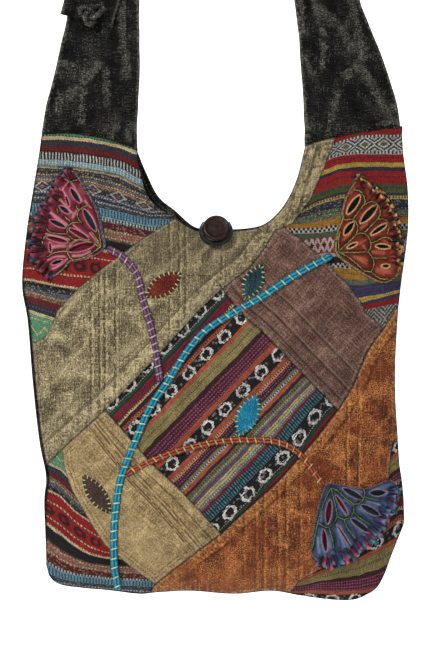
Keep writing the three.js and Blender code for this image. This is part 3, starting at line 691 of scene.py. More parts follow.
def woven(name, bands, motifs, gain, flecks=()):
    """Striped handwoven cloth: bands over s, motifs, flecked rows (from, to) and single threads."""
    m = Shade(name)
    s = m.attr("s")
    t = m.attr("t")
    wander = (m.noise(t * 0.14, s * 0.25) - 0.5) * 1.8 + (m.noise(t * 0.04, s * 0.06, 9.0) - 0.5) * 3.2
    ragged = s + (t.wave(1.1) - 0.55) * 0.5 + wander
    colour = m.ramp(ragged, bands, stepped=True)
    loose = t + (m.noise(t * 0.1, s * 0.1, 5.0) - 0.5) * 3.0
    for motif, measures, rgb in motifs:
        colour = m.mix(motif(m, ragged, loose, *measures), colour, linear(rgb))
    colour = m.mix(0.12, colour, linear(DUST))
    row = s + wander * 0.6
    rib = row.wave(ROW / 2) / (ROW / 2)
    pick = (t + row.snap(ROW) * 0.43).wave(0.85) / 0.85
    thread = m.cells(row / ROW, t * 0.5)
    fleck = m.cells(row / (ROW / 2), t * 0.8)
    for low, high in flecks:
        spread = m.near(ragged, (low + high) / 2, (high - low) / 2)
        colour = m.mix((fleck > 0.85) * spread * 0.36, colour, linear(LIGHT_FLECK))
        colour = m.mix((fleck < 0.2) * spread * 0.5, colour, linear(DARK_FLECK))
    grit = m.noise(s * 0.8, t * 0.8, 17.0, 3.0)
    play = rib * 0.36 + pick * 0.26 + thread * 0.4 + grit * 0.9 - 0.1
    cloud = m.noise(m.attr("across") * 0.04, m.attr("down") * 0.04, 3.0)
    # Painted shade: the cloth darkens over the last 2.5 mm towards its cut edge, to 55 % of its colour at
    # the edge itself.
    edge = m.attr("edge").ease(0.0, 2.5)
    colour = m.tint(colour, play * (cloud * 0.7 + 0.62) * (edge * 0.45 + 0.55) * gain)
    m.bump(rib * 0.9 + pick * 0.6 + thread * 0.5 + grit, 0.6, 0.001)
    return m.finish(colour, thread * 0.12 + 0.82)


def washed(name, stops, marks=None, slub=1.0, wear=(206, 196, 170), contrast=1.0, turn=0.0, gloss=0.18,
           sheen=0.06):
    """Stonewashed cotton: slubs both ways over soft blotches, wear on folded edges, painted shade along its
    cut edges.
    """
    m = Shade(name)
    a, d, edge, crest = (m.attr(label) for label in ("across", "down", "edge", "crest"))
    x = a * math.cos(turn) + d * math.sin(turn)
    y = d * math.cos(turn) - a * math.sin(turn)
    warp = m.noise(x * 0.95, y * 0.06, 1.0)
    weft = m.noise(x * 0.08, y * 0.95, 7.0)
    blotch = m.noise(a * 0.05, d * 0.05, 13.0)
    grain = m.noise(x * 0.8, y * 0.6, 19.0)
    value = warp * (0.6 * slub) + weft * (0.35 * slub) + blotch * 0.5 + grain * 0.95 - (0.475 * slub + 0.725)
    # Painted light and shade: crinkle crests are drawn lighter and their hollows darker, here and in the
    # tint below.
    colour = m.even_ramp((value + crest * 0.12) * (2.6 * contrast) + 0.5, stops)
    for mask, rgb in marks(m, a, d, edge) if marks else ():
        colour = m.mix(mask, colour, linear(rgb))
    rub = edge.ease(0.3, 1.0) * (1.0 - edge.ease(1.6, 4.0)) * m.patchy(a * 0.35, d * 0.35, 29.0, 0.42, 0.66)
    colour = m.mix(rub * 0.3, colour, linear(wear))
    thread = m.cells(x * 0.6, y * 0.6)
    speck = m.noise(x * 0.9, y * 0.9, 23.0, 1.0)
    # Painted shade: the colour darkens over the last 1.6 mm towards the cut edge, to half at the edge
    # itself.
    edge_shade = edge.ease(0.0, 1.6)
    colour = m.tint(colour, (thread * 0.4 + speck * 1.5 + 0.05 + crest * 0.2) * (edge_shade * 0.5 + 0.5))
    m.bump(x.wave(0.6) + y.wave(0.6) + thread * 0.5 + warp * 1.2 + weft * 1.2 + speck, 0.6, 0.001)
    return m.finish(colour, grain * 0.16 + 0.78, gloss, sheen)


def yarn(name, rgb, dark):
    """Stitching thread with a twist along its length."""
    m = Shade(name)
    x, y, z = m.place()
    twist = ((x + z) * 1400.0 + y * 700.0).wave(0.5) * 2.0
    tone = m.noise(x * 240.0, z * 240.0)
    colour = m.mix(tone.ease(0.3, 0.7), linear(dark), linear(rgb))
    colour = m.tint(colour, twist * 0.3 + 0.78)
    m.bump(twist, 0.4)
    return m.finish(colour, tone * 0.2 + 0.55, specular=0.25)


# Where each band line of a woven cloth runs: s, then its depth at the listed places across.
LEFT_TOP_AT = (30, 60, 90, 120, 150)
LEFT_TOP = [
    (0, 131, 132, 135, 142.5, 152), (6, 137, 138, 140.3, 145.5, 157), (30, 161, 162.5, 165, 171.5, 187),
    (53.5, 184.5, 185.5, 188, 196.5, 207.5), (78, 209, 210, 211.5, 217, 223),
    (110, 241, 244, 248, 253, 258), (147.5, 278.5, 285, 289, 293, 297), (179.5, 310.5, 320, 328, 334, 338),
    (214, 345, 352, 358, 362, 366),
]
LEFT_LOW_AT = (45, 60, 75, 90, 105, 120, 150)
LEFT_LOW = [
    (214, 440, 446, 455, 460, 465, 470, 475), (181, 462, 468, 484, 496, 508, 514, 518),
    (166, 473, 482, 496, 508, 520, 526, 530), (149.5, 488, 495, 510.5, 521, 532, 536, 540),
    (110, 522, 534, 545.5, 554.5, 558, 558.5, 560), (104, 532, 546, 555, 561, 563, 563, 566),
    (93, 547, 559, 565, 568.5, 570, 571, 574), (88, 555, 566, 571, 573, 575, 576, 578),
    (74, 570, 577, 580, 582, 583, 584, 585), (62, 582, 586, 588, 590, 591, 593, 596),
]
# The left cloth's bands run down to this depth and come back up below it.
LEFT_SPLIT = 415.0
RIGHT_AT = (300, 320, 340, 360, 400)
RIGHT = [
    (0, 143, 140, 136, 131.5, 126.5), (8, 152, 148, 141, 135, 134), (27.5, 170, 163, 156, 154, 154),
    (38.5, 182, 173.5, 166, 164.5, 165), (58, 200, 192, 184.5, 183, 184), (71, 213, 202, 196.5, 196.5, 197),
    (84.5, 219, 213, 209.5, 210, 210.5), (91.5, 224, 221.5, 216.5, 217, 217),
    (99, 229, 229, 225, 224.5, 224.5), (113, 243, 240.5, 238, 238, 239), (126, 256, 253, 251, 251, 252),
    (138, 266, 265, 264, 265, 263), (144, 270, 270, 270, 272, 268), (153, 279, 279, 279, 281, 276),
    (160, 287, 286, 286, 287, 283), (170, 305, 305, 304, 304, 293), (174, 309, 309, 308, 306.5, 297),
    (182, 316, 316, 315, 312, 305), (205, 340, 340, 340, 336, 330),
]
CORNER_AT = (300, 320, 340, 360, 380, 400)
CORNER = [
    (10, 555, 545, 535, 525, 510, 495), (29, 572, 563, 556, 549, 537, 522),
    (39.5, 580, 571, 564.5, 557, 547, 535), (43.5, 583, 574, 568, 561, 552, 541),
    (57, 586, 581, 578.5, 576, 569, 556), (73, 591, 590, 591, 590, 586, 575),
    (79, 593, 594, 595, 594, 590, 582), (91, 601, 602, 603, 603, 601, 596),
]
# Above its first lines the corner cloth repeats its bands.
CORNER_FIRST, CORNER_REPEAT, CORNER_STRETCH = -6, 75, 1.12
# The centre cloth's bands: a corner, the directions along and across them, and their reach in the weave.
CENTRE_FROM = np.array((105.0, 410.0))
CENTRE_ALONG = np.array((117.0, -121.0))
CENTRE_ASIDE = np.array((116.0, 124.0))
CENTRE_DEEP, CENTRE_LONG = 168.0, 170.0
# How far its last bands drift outwards.
CENTRE_DRIFT = 6.0


def weave_at(sheet, places, lines):
    """The band coordinate s of a sheet's points, from band lines given at some places across."""
    down = sheet.down
    table = np.array(lines, float)
    depth = np.stack([np.interp(sheet.across, places, row[1:]) for row in table])
    s = table[0, 0] + (down - depth[0]) * np.sign(table[1, 0] - table[0, 0])
    for k in range(len(table) - 1):
        gap = np.maximum(depth[k + 1] - depth[k], 0.1)
        share = (down - depth[k]) / gap
        s = np.where(share >= 0, table[k, 0] + (table[k + 1, 0] - table[k, 0]) * np.minimum(share, 1), s)
    past = np.maximum(0, down - depth[-1]) * np.sign(table[-1, 0] - table[-2, 0])
    return s + past


def left_weave(sheet):
    top = weave_at(sheet, LEFT_TOP_AT, LEFT_TOP)
    low = weave_at(sheet, LEFT_LOW_AT, LEFT_LOW)
    return {"s": np.where(sheet.down < LEFT_SPLIT, top, low), "t": sheet.across}


def right_weave(sheet):
    return {"s": weave_at(sheet, RIGHT_AT, RIGHT), "t": sheet.across}


def corner_weave(sheet):
    s = weave_at(sheet, CORNER_AT, CORNER)
    return {"s": np.where(s < CORNER_FIRST, s + CORNER_REPEAT, s), "t": sheet.across * CORNER_STRETCH}


def centre_weave(sheet):
    basis = np.linalg.inv(np.stack([CENTRE_ALONG, CENTRE_ASIDE], axis=1))
    share = (sheet.flat - CENTRE_FROM) @ basis.T
    t = share[:, 0] * CENTRE_LONG
    drift = CENTRE_DRIFT * smooth(share[:, 1], 0.7, 0.93) * (1 - 0.9 * smooth(t, 105, 155))
    return {"s": share[:, 1] * CENTRE_DEEP - drift, "t": t}


MINT, SLATE, DARK_RED, RED = (100, 158, 118), (50, 50, 58), (104, 28, 32), (152, 30, 34)
CREAM, WHITE, BLACK, TAN = (206, 186, 142), (196, 194, 186), (24, 22, 26), (134, 108, 82)
LIGHT_BLUE, BLUE_GREY, NAVY, BROWN = (106, 156, 172), (84, 92, 104), (44, 44, 70), (98, 72, 60)
SAGE, OLIVE, OCHRE, YELLOW = (98, 108, 84), (78, 80, 52), (176, 122, 46), (190, 160, 70)
CRIMSON, PLUM, PINK, SALMON = (120, 34, 50), (62, 32, 50), (172, 80, 104), (170, 86, 62)
GOLD, DEEP_GREEN, MAROON, ORANGE = (148, 132, 86), (30, 48, 40), (58, 28, 34), (178, 92, 62)
INDIGO, WINE, FOREST, SILVER = (60, 56, 92), (92, 24, 30), (40, 74, 58), (186, 182, 174)

# Bands of each woven cloth: where one starts in s, and its colour.
LEFT_BANDS = [
    (-40, SLATE), (0, MINT), (2.5, BLACK), (4, CREAM), (7.5, SLATE), (13.5, DARK_RED), (20, BLACK),
    (27, LIGHT_BLUE), (33, TAN), (35, CREAM), (36, BROWN), (37, SLATE), (41, BROWN), (43.5, BLUE_GREY),
    (46, (150, 100, 70)), (48.5, TAN), (51, SLATE), (58, BLUE_GREY), (62, NAVY), (64, BLUE_GREY),
    (68, SLATE), (72, LIGHT_BLUE), (81, SLATE), (85, DARK_RED), (91, TAN), (94, (170, 100, 84)), (97, TAN),
    (99, BROWN), (101, BLACK), (108.5, CREAM), (111, RED), (147, CREAM), (149.5, BLACK), (153, SLATE),
    (156, BLUE_GREY), (160, TAN), (163, BROWN), (166, DARK_RED), (171, SLATE), (179, CREAM), (181.5, MINT),
    (222, SLATE),
]
RIGHT_BANDS = [
    (-40, SLATE), (0, RED), (8, WHITE), (27, RED), (35.5, YELLOW), (40.5, NAVY), (44, RED), (57.5, OLIVE),
    (67, NAVY), (69, YELLOW), (72, NAVY), (82, SAGE), (90.5, OCHRE), (97.5, WHITE), (103, (84, 88, 66)),
    (110.5, RED), (126, (186, 184, 178)), (130, BLACK), (137, WHITE), (142, OCHRE), (152, SAGE),
    (157, INDIGO), (166, YELLOW), (169, INDIGO), (173, RED), (180, WHITE), (206, SLATE),
]
CENTRE_BANDS = [
    (-40, BLACK), (4.5, DEEP_GREEN), (9.5, CRIMSON), (17.5, CREAM), (20, MAROON), (24, ORANGE),
    (28.5, BLACK), (39.5, ORANGE), (43.5, GOLD), (56, MAROON), (60, PLUM), (73, SALMON), (78.5, BLACK),
    (91, SALMON), (96, (206, 150, 110)), (99, PLUM), (106, (122, 116, 86)), (109, WHITE), (111, ORANGE),
    (115, PLUM), (118, (124, 118, 88)), (124.5, (104, 80, 104)), (128, (182, 170, 122)),
    (131.5, (112, 110, 106)), (135, CRIMSON), (137, (80, 130, 144)), (145.5, BLACK), (159.5, DEEP_GREEN),
    (163, (116, 30, 38)),
]

# Motifs in the order they are woven in: the motif, its measures as its function takes them, its colour.
LEFT_MOTIFS = [
    (dots, (3.2, 0.9, 3.2), MINT), (dots, (7.6, 0.7, 3.0), CREAM), (dots, (19.6, 1.0, 3.4), BLACK),
    (dots, (23.5, 3.2, 3.1, 0.45), WHITE), (dots, (30.0, 2.6, 3.1), WHITE),
    (dots, (38.8, 0.7, 2.6), BLUE_GREY), (dots, (42.5, 0.6, 2.6), CREAM), (dots, (47.3, 0.6, 2.8), CREAM),
    (diamonds, (54.5, 6.0, 25.5, 9.0, -42.0), (176, 178, 176)),
    (diamonds, (54.5, 4.2, 25.5, 6.4, -42.0), SLATE),
    (diamonds, (54.5, 2.3, 25.5, 3.8, -42.0), (146, 92, 88)), (dots, (60.4, 0.7, 3.0), WHITE),
    (dots, (66.3, 0.7, 3.0, 0.5, 1.0), WHITE), (dots, (70.0, 0.7, 3.0), BLUE_GREY),
    (dots, (76.5, 4.0, 3.1, 0.42), (60, 70, 92)), (dots, (83.0, 1.7, 3.1), WHITE),
    (dots, (92.5, 0.6, 3.2), CREAM), (dots, (95.5, 0.6, 3.2, 0.5, 1.0), PINK),
    (dots, (98.3, 0.6, 3.2), CREAM), (dots, (111.0, 0.9, 3.0), CREAM),
    (dots, (119.0, 0.8, 3.4, 0.6), CREAM),
    (rings, (128.0, 4.8, 16.0, 6.4, 0.42, 0.0, (0.5, 0.4), 2.0), (62, 20, 28)),
    (dots, (137.0, 0.8, 3.4, 0.6), CREAM), (dots, (147.2, 0.8, 3.0), RED), (dots, (161.5, 0.6, 3.0), CREAM),
    (dots, (164.5, 0.6, 3.0, 0.5, 1.0), (176, 120, 80)), (dots, (175.0, 0.7, 3.0), BLUE_GREY),
    (zigzag, (197.0, 5.0, 15.0, 1.1), CREAM), (dots, (186.0, 0.7, 3.2), CREAM),
    (dots, (208.0, 0.7, 3.2), CREAM),
]
RIGHT_MOTIFS = [
    (dots, (9.5, 1.5, 3.6), (52, 52, 50)), (dots, (25.5, 1.5, 3.6), (52, 52, 50)),
    (stripe, (17.5, 6.4), (48, 50, 46)), (nested, (17.5, 6.6, 19.2, 0.28), (190, 189, 180)),
    (diamonds, (17.5, 2.4, 19.2, 3.2), (98, 100, 62)), (dots, (31.2, 0.7, 3.0), WINE),
    (dots, (50.6, 0.8, 3.0), WINE), (dots, (62.0, 0.8, 3.0), (62, 62, 42)),
    (dots, (70.5, 1.3, 3.0, 0.42), NAVY), (dots, (77.0, 0.7, 3.0), SLATE),
    (dots, (86.0, 0.7, 3.0), (72, 84, 70)), (dots, (99.0, 1.4, 4.6), BLACK),
    (dots, (101.8, 1.4, 4.6, 0.5, 2.3), BLACK), (lattice, (110.5, 126.0, 12.0, 0.18), SILVER),
    (diamonds, (118.2, 2.4, 12.0, 2.8), (60, 26, 32)), (dots, (138.2, 1.3, 4.6), BLACK),
    (dots, (140.9, 1.3, 4.6, 0.5, 2.3), BLACK), (dots, (147.0, 0.7, 3.0), (130, 90, 44)),
    (dots, (161.0, 0.7, 3.0), (74, 70, 104)), (stripe, (193.0, 12.6), (72, 74, 68)),
    (nested, (192.5, 12.6, 22.0, 0.17), (172, 172, 162)),
]
# Rings of the centre cloth's dark bands: s, half height, reach along the band, phase.
CENTRE_RINGS = [
    (0.0, 5.5, 8.5, -10.0), (34.0, 5.2, 8.5, -10.5), (85.0, 5.6, 8.5, -12.5), (153.5, 5.5, 9.3, -21.5),
]
CENTRE_MOTIFS = []
for ring_s, ring_half, ring_reach, ring_phase in CENTRE_RINGS:
    CENTRE_MOTIFS += [
        (rings, (ring_s, ring_half, 25.7, ring_reach, 0.66, ring_phase, (0.6, 0.45), 2.6), (232, 229, 220)),
        (specks, (ring_s, ring_half * 0.9), (150, 148, 146)),
    ]
CENTRE_MOTIFS += [
    (dots, (5.0, 0.5, 2.6, 0.6), (150, 150, 140)), (dots, (158.6, 0.5, 2.6, 0.6), (150, 150, 140)),
    (stripe, (7.4, 1.2), FOREST), (stripe, (161.4, 0.9), FOREST), (dots, (13.5, 0.6, 2.8), (96, 22, 36)),
    (dots, (18.7, 0.9, 2.8, 0.45), MAROON), (dots, (26.0, 0.9, 2.8, 0.4), MAROON),
    (dots, (49.5, 0.6, 2.6), (86, 70, 38)), (dots, (53.0, 0.5, 2.6), (176, 148, 84)),
    (dots, (62.0, 0.75, 2.9, 0.6), PINK), (dots, (65.2, 0.75, 2.9, 0.6), PINK),
    (dots, (68.5, 0.75, 2.9, 0.6), PINK), (dots, (71.7, 0.75, 2.9, 0.6), PINK),
    (dots, (97.5, 0.9, 2.8, 0.45), PLUM), (dots, (101.0, 0.7, 2.8), PINK),
    (dots, (104.0, 0.7, 2.8, 0.5, 1.0), (120, 90, 110)), (dots, (110.0, 0.9, 2.8), BLACK),
    (dots, (120.5, 0.8, 2.8), (58, 62, 40)), (dots, (123.2, 0.5, 2.8, 0.5, 1.4), (188, 182, 166)),
    (dots, (129.7, 0.5, 2.8), (120, 108, 66)), (dots, (133.2, 0.6, 2.8), (186, 182, 172)),
    (dots, (141.2, 4.3, 2.9, 0.52), (20, 30, 34)), (stripe, (141.2, 0.4), (28, 44, 50)),
]


# Marks of the washed cloths: their functions yield masks with colours, in the order they lie.
def topstitch(m, a, d, gap, at, share):
    """A dashed stitch line a set distance inside an edge."""
    return m.near(gap, at, 0.65) * ((a * 0.83 + d * 0.56).wave(1.5) < 1.0) * share


def creases(m, a, at, sway, dark, light):
    """A crease down the cloth: a dark line of painted shade and a light one of painted highlight beside it,
    each (fade, mask, colour).
    """
    for aside, (low, high), mask, rgb in ((0.0, *dark), (2.4, *light)):
        yield m.line(a + sway, at + aside, low, high) * mask, rgb


def olive_marks(m, a, d, edge):
    hem = m.attr("hem")
    strip = a + (d - 145.0) * 0.3 - 318.0
    neck = (a > 262.0) * (d < 236.0)
    yield neck * 0.6 * m.patchy(a * 0.2, d * 0.2, 3.0, 0.44, 0.58), (186, 166, 122)
    yield neck * 0.6 * m.patchy(a * 0.22, d * 0.14, 33.0, 0.52, 0.62), (82, 70, 50)
    yield neck * m.line(strip, 0.0, 0.6, 2.4) * 0.75, (54, 46, 34)
    yield neck * m.line(strip, -9.0, 0.4, 1.6) * 0.6, (70, 60, 44)
    sway = m.noise(0.0, d * 0.04, 2.0) * 5.0 - 2.5
    # Creases drawn as painted shade and painted highlight.
    for at in (90.5, 99.0, 104.5, 115.0, 169.0, 178.5, 185.0, 221.0):
        dark = ((0.5, 1.6), m.patchy(a * 0.5, d * 0.3, 6.0, 0.4, 0.55) * 0.85, (60, 50, 35))
        light = ((0.4, 1.4), m.patchy(a * 0.5, d * 0.3, 16.0, 0.42, 0.58) * 0.65, (194, 178, 136))
        yield from creases(m, a, at, sway, dark, light)
    yield (1.0 - d.ease(236.0, 296.0)) * (a < 262.0) * 0.42, (86, 76, 56)
    yield topstitch(m, a, d, hem, 15.5, 0.7), (74, 64, 46)
    # Painted shade where the doubled hem cloth steps down.
    yield m.line(hem, 17.0, 0.5, 1.8) * 0.5, (66, 56, 42)
    # Light patches of painted highlight and dark ones of painted shade on the crumpled hem band.
    yield m.near(hem, 8.5, 6.0) * m.patchy(a * 0.3, d * 0.3, 9.0, 0.48, 0.6) * 0.6, (188, 172, 132)
    yield m.near(hem, 8.5, 7.0) * m.patchy(a * 0.26, d * 0.26, 19.0, 0.54, 0.62) * 0.5, (84, 74, 54)
    yield topstitch(m, a, d, edge, 3.2, 0.5), (78, 68, 50)
    lean = a * 0.72 + d * 0.69
    yield m.patchy(lean * 0.09, (a - d) * 0.012, 5.0, 0.55, 0.72) * 0.35, (186, 172, 136)


def khaki_marks(m, a, d, edge):
    hem = m.attr("hem")
    lean = a * 0.72 - d * 0.69
    along = a + d
    skew = hem - (along - 515.0) * 0.034
    band = skew.ease(12.5, 14.0) * (1.0 - skew.ease(24.5, 26.5))
    hatch = m.noise(skew * 0.3, lean * 0.9, 25.0).high(m.noise(skew * 0.9, along * 0.1, 35.0))
    yield band * hatch.ease(0.52, 0.64) * 0.6, (104, 78, 48)
    yield band * m.patchy(skew * 0.6, along * 0.6, 55.0, 0.56, 0.64) * 0.5, (192, 170, 126)
    for at in (14.0, 17.5, 23.0, 25.2):
        broken = m.patchy(along * 0.12, at, 3.0, 0.36, 0.5)
        yield m.line(skew, at, 0.35, 1.2) * broken * 0.85, (84, 58, 34)
        yield m.line(skew, at + 1.5, 0.3, 1.2) * broken * 0.4, (190, 168, 124)
    yield m.line(hem, 10.2, 0.4, 1.5) * 0.8, (82, 60, 36)
    yield hem.ease(36.0, 62.0) * 0.35, (178, 154, 110)
    for at in (4.6, 8.0):
        yield topstitch(m, a, d, edge, at, 0.7) * (hem > 45.0), (92, 66, 40)
    yield m.patchy(lean * 0.7, along * 0.02, 15.0, 0.54, 0.72) * 0.4, (106, 84, 52)
    yield m.near(hem, 5.5, 5.0) * m.patchy(a * 0.4, d * 0.4, 9.0, 0.45, 0.65) * 0.45, (190, 168, 124)
    yield m.patchy(lean * 0.5, along * 0.03, 5.0, 0.5, 0.75) * 0.35, (186, 164, 120)


def maroon_marks(m, a, d, edge):
    hem = m.attr("hem")
    lean = a * 0.72 + d * 0.69
    cross = a - d
    yield m.patchy(lean * 0.3, cross * 0.02, 5.0, 0.52, 0.72) * 0.5, (134, 101, 87)
    yield m.patchy(lean * 0.8, cross * 0.03, 15.0, 0.53, 0.68) * 0.5, (66, 44, 38)
    yield m.patchy(cross * 0.8, lean * 0.04, 25.0, 0.55, 0.7) * 0.4, (146, 111, 95)
    # Painted shade along each fold of the hem, and a painted highlight 2 mm beyond it.
    for at in (9.0, 21.0, 38.0):
        yield m.line(hem, at, 0.4, 1.6) * 0.6, (48, 32, 28)
        yield m.line(hem, at + 2.0, 0.4, 1.4) * 0.35, (146, 120, 106)
    yield topstitch(m, a, d, hem, 11.0, 0.5), (44, 30, 26)
    yield topstitch(m, a, d, edge, 3.2, 0.5), (140, 114, 100)


def rust_marks(m, a, d, edge):
    hem = m.attr("hem")
    weave = m.patchy((a - d) * 0.5, (a + d) * 0.05, 3.0, 0.35, 0.7)
    turned = 1.0 - hem.ease(9.0, 11.5)
    yield (1.0 - hem.ease(9.5, 11.5)) * weave * 0.75, (190, 128, 66)
    yield turned * m.patchy(a * 0.3, d * 0.3, 53.0, 0.5, 0.58) * 0.75, (98, 44, 24)
    yield turned * m.patchy(a * 0.34, d * 0.34, 63.0, 0.55, 0.62) * 0.7, (214, 154, 86)
    yield topstitch(m, a, d, hem, 11.0, 0.7), (66, 34, 20)
    # Painted shade where the doubled hem cloth steps down.
    yield m.line(hem, 12.2, 0.4, 1.6) * 0.5, (62, 30, 18)
    # Creases drawn as painted shade and painted highlight.
    for at in (243.0, 255.0, 263.0, 277.0, 285.0, 299.0, 346.0, 358.0):
        sway = m.noise(0.0, d * 0.03, at) * 6.0 - 3.0
        dark = ((0.5, 1.7), m.patchy(a * 0.5, d * 0.25, 6.0, 0.36, 0.52) * 0.85, (52, 24, 14))
        light = ((0.5, 1.8), m.patchy(a * 0.5, d * 0.35, 16.0, 0.42, 0.58) * 0.7, (208, 146, 78))
        yield from creases(m, a, at, sway, dark, light)
    yield m.patchy(a * 0.03, d * 0.03, 45.0, 0.44, 0.6) * 0.62, (104, 38, 19)
    yield m.patchy(a * 0.45, d * 0.025, 5.0, 0.54, 0.74) * 0.4, (172, 112, 62)
    dull = m.patchy(a * 0.05, d * 0.05, 65.0, 0.42, 0.58)
    yield m.patchy(a * 0.16, d * 1.3, 75.0, 0.54, 0.64) * dull * 0.5, (66, 28, 15)
    golden = m.patchy(a * 0.04, d * 0.05, 95.0, 0.46, 0.58)
    yield m.patchy(a * 0.9, d * 0.7, 35.0, 0.54, 0.64) * (golden * 0.62 + 0.1), (206, 134, 66)
    yield m.patchy(a * 1.2, d * 1.0, 85.0, 0.56, 0.63) * (golden * 0.75 + 0.14), (226, 160, 90)
    yield m.patchy(a * 0.5, d * 0.03, 15.0, 0.56, 0.76) * 0.5, (66, 32, 20)
    yield d.ease(540.0, 580.0) * a.ease(150.0, 170.0) * 0.25, (150, 88, 46)


def back_marks(m, a, d, edge):
    fleck = m.patchy(a * 0.4, d * 1.2, 3.0, 0.46, 0.6)
    fold = m.patchy(a * 0.06 + d * 0.015, d * 0.01, 47.0, 0.54, 0.68)
    yield fold * fleck * 0.6, (128, 125, 114)
    rows = m.patchy(a * 0.14, d * 1.2, 41.0, 0.5, 0.66) * m.patchy(a * 0.02, d * 0.02, 43.0, 0.44, 0.62)
    yield rows * 0.45, (96, 94, 86)
    yield topstitch(m, a, d, edge, 5.0, 0.6), (104, 102, 94)


# The turned hem of each washed patch, and how far from it the doubled cloth ends.
HEM_LINES = {
    "olive": [
        (15, 490), (46, 464), (62, 449), (105, 410), (150, 364), (200, 309), (222, 289), (250, 267),
        (265, 247),
    ],
    "maroon": [(222, 289), (245, 317), (262, 331), (300, 371), (338, 410)],
    "khaki": [(105, 410), (150, 462), (180, 490), (221, 534)],
    "rust": [
        (155, 584.5), (190, 557), (221, 534), (240, 516), (280, 480), (315, 440), (338, 410), (352, 388),
        (367, 353), (375, 340), (384, 328.5), (395, 309),
    ],
}
HEM_STEPS = {"olive": (16.5,), "maroon": (9.0, 21.0), "khaki": (12.5,), "rust": (11.5,)}
FACE = panel_outline(MOUTH_FRONT, FACE_INSET)
BACK = panel_outline(MOUTH_BACK, BACK_INSET)
# Spacing of points in the base cloths, the patches and the back.
BASE_SPACING, PATCH_SPACING, BACK_SPACING = 1.9, 1.5, 2.4
# Base cloths: left, top, right and bottom of their block of the face, weave, bands, motifs, flecked rows.
BASES = {
    "left": ((0, 100, 216, 620), left_weave, LEFT_BANDS, LEFT_MOTIFS, [(33, 72), (81, 101), (150, 166)]),
    "right": ((216, 100, 420, 372), right_weave, RIGHT_BANDS, RIGHT_MOTIFS, [(72, 91)]),
    "corner": ((216, 372, 420, 620), corner_weave, CENTRE_BANDS, CENTRE_MOTIFS, []),
}
BASE_GAIN, CENTRE_GAIN = 0.8, 0.84
# How a cut edge rolls over, as depth and reach, and the rise of fine creases.
BASE_ROLL, PATCH_ROLL, BACK_ROLL = (0.9, 1.4), (1.5, 2.0), (1.6, 2.2)
PATCH_CRINKLE, BACK_CRINKLE = 0.8, 0.9
# A patch's tucks, as reach and rise, and its ridge and groove, as rise, place and half width.
PATCH_TUCKS = (4.0, 1.0)
PATCH_WELTS = [(0.5, 2.2, 1.6), (-0.4, 5, 1.2)]
# Rise of doubled cloth at a hem, the groove beyond it and how soft the step between them is.
HEM_FOLD, HEM_GROOVE, HEM_SOFT = 1.2, 0.7, 1.0
# Corners of the centre patch, where patches meet, and where the maroon one leaves its neighbours' hems.
TOP_CORNER, RIGHT_CORNER, LOW_CORNER, LEFT_CORNER = (222, 289), (338, 410), (221, 534), (105, 410)
NECK_CORNER, SIDE_CORNER = (265, 247), (384, 328.5)


def seam(key, start, end):
    """The stretch of a hem from one of its points to another, without the first."""
    line = HEM_LINES[key]
    first = line.index(start)
    last = line.index(end)
    if first < last:
        return line[first + 1:last + 1]
    return line[last:first][::-1]


# Outlines of the patches, which share their seams.
PATCHES = {
    "olive": [
        (182, 200), (177, 217), (160, 227.5), (140, 240), (124, 252.5), (100, 270), (78, 288), (57, 311),
        (50.5, 328), (44, 338), (15, 350), (30, 470), *HEM_LINES["olive"][1:], (275, 230), (292, 224),
        (310, 200), (321, 175), (327, 160), (338, 130), (290, 120),
    ],
    "maroon": [
        TOP_CORNER, *seam("olive", TOP_CORNER, NECK_CORNER),
        (275, 230), (284, 227), (302, 240), (325, 260), (345, 281), (362, 303), (366, 312),
        SIDE_CORNER, *seam("rust", SIDE_CORNER, RIGHT_CORNER),
        *seam("maroon", RIGHT_CORNER, TOP_CORNER)[:-1],
    ],
    "centre": [
        TOP_CORNER, *seam("maroon", TOP_CORNER, RIGHT_CORNER), *seam("rust", RIGHT_CORNER, LOW_CORNER),
        *seam("khaki", LOW_CORNER, LEFT_CORNER), *seam("olive", LEFT_CORNER, TOP_CORNER)[:-1],
    ],
    "khaki": [
        LEFT_CORNER, *seam("khaki", LEFT_CORNER, LOW_CORNER),
        *seam("rust", LOW_CORNER, HEM_LINES["rust"][0]),
        (135, 570), (118, 556.5), (105, 545), (92, 525), (80, 505), (72, 490), (64, 468), (62, 449),
    ],
    "rust": [
        *HEM_LINES["rust"],
        (415, 300), (415, 424), (393, 442), (390.5, 460), (389, 480), (378, 515), (350, 550), (318, 571),
        (300, 581), (282, 602), (144, 602),
    ],
}
# Colours of the washed cloths from dark to light.
OLIVE_STOPS = [(62, 52, 36), (98, 86, 64), (125, 112, 86), (148, 135, 103), (190, 174, 132)]
KHAKI_STOPS = [(98, 77, 48), (134, 112, 76), (150, 128, 88), (164, 142, 100), (190, 167, 122)]
MAROON_STOPS = [(58, 36, 30), (84, 57, 49), (98, 71, 61), (112, 84, 73), (142, 112, 98)]
RUST_STOPS = [(50, 20, 13), (84, 36, 23), (110, 50, 31), (136, 71, 42), (186, 116, 64)]
BLACK_STOPS = [(16, 16, 16), (22, 22, 21), (29, 29, 27), (38, 38, 36), (66, 66, 62)]
STRAP_STOPS = [(9, 9, 9), (14, 14, 14), (20, 20, 19), (29, 29, 27), (84, 83, 76)]
# Grain of the cloths that are cut on the slant, in radians.
SLANT = -0.78
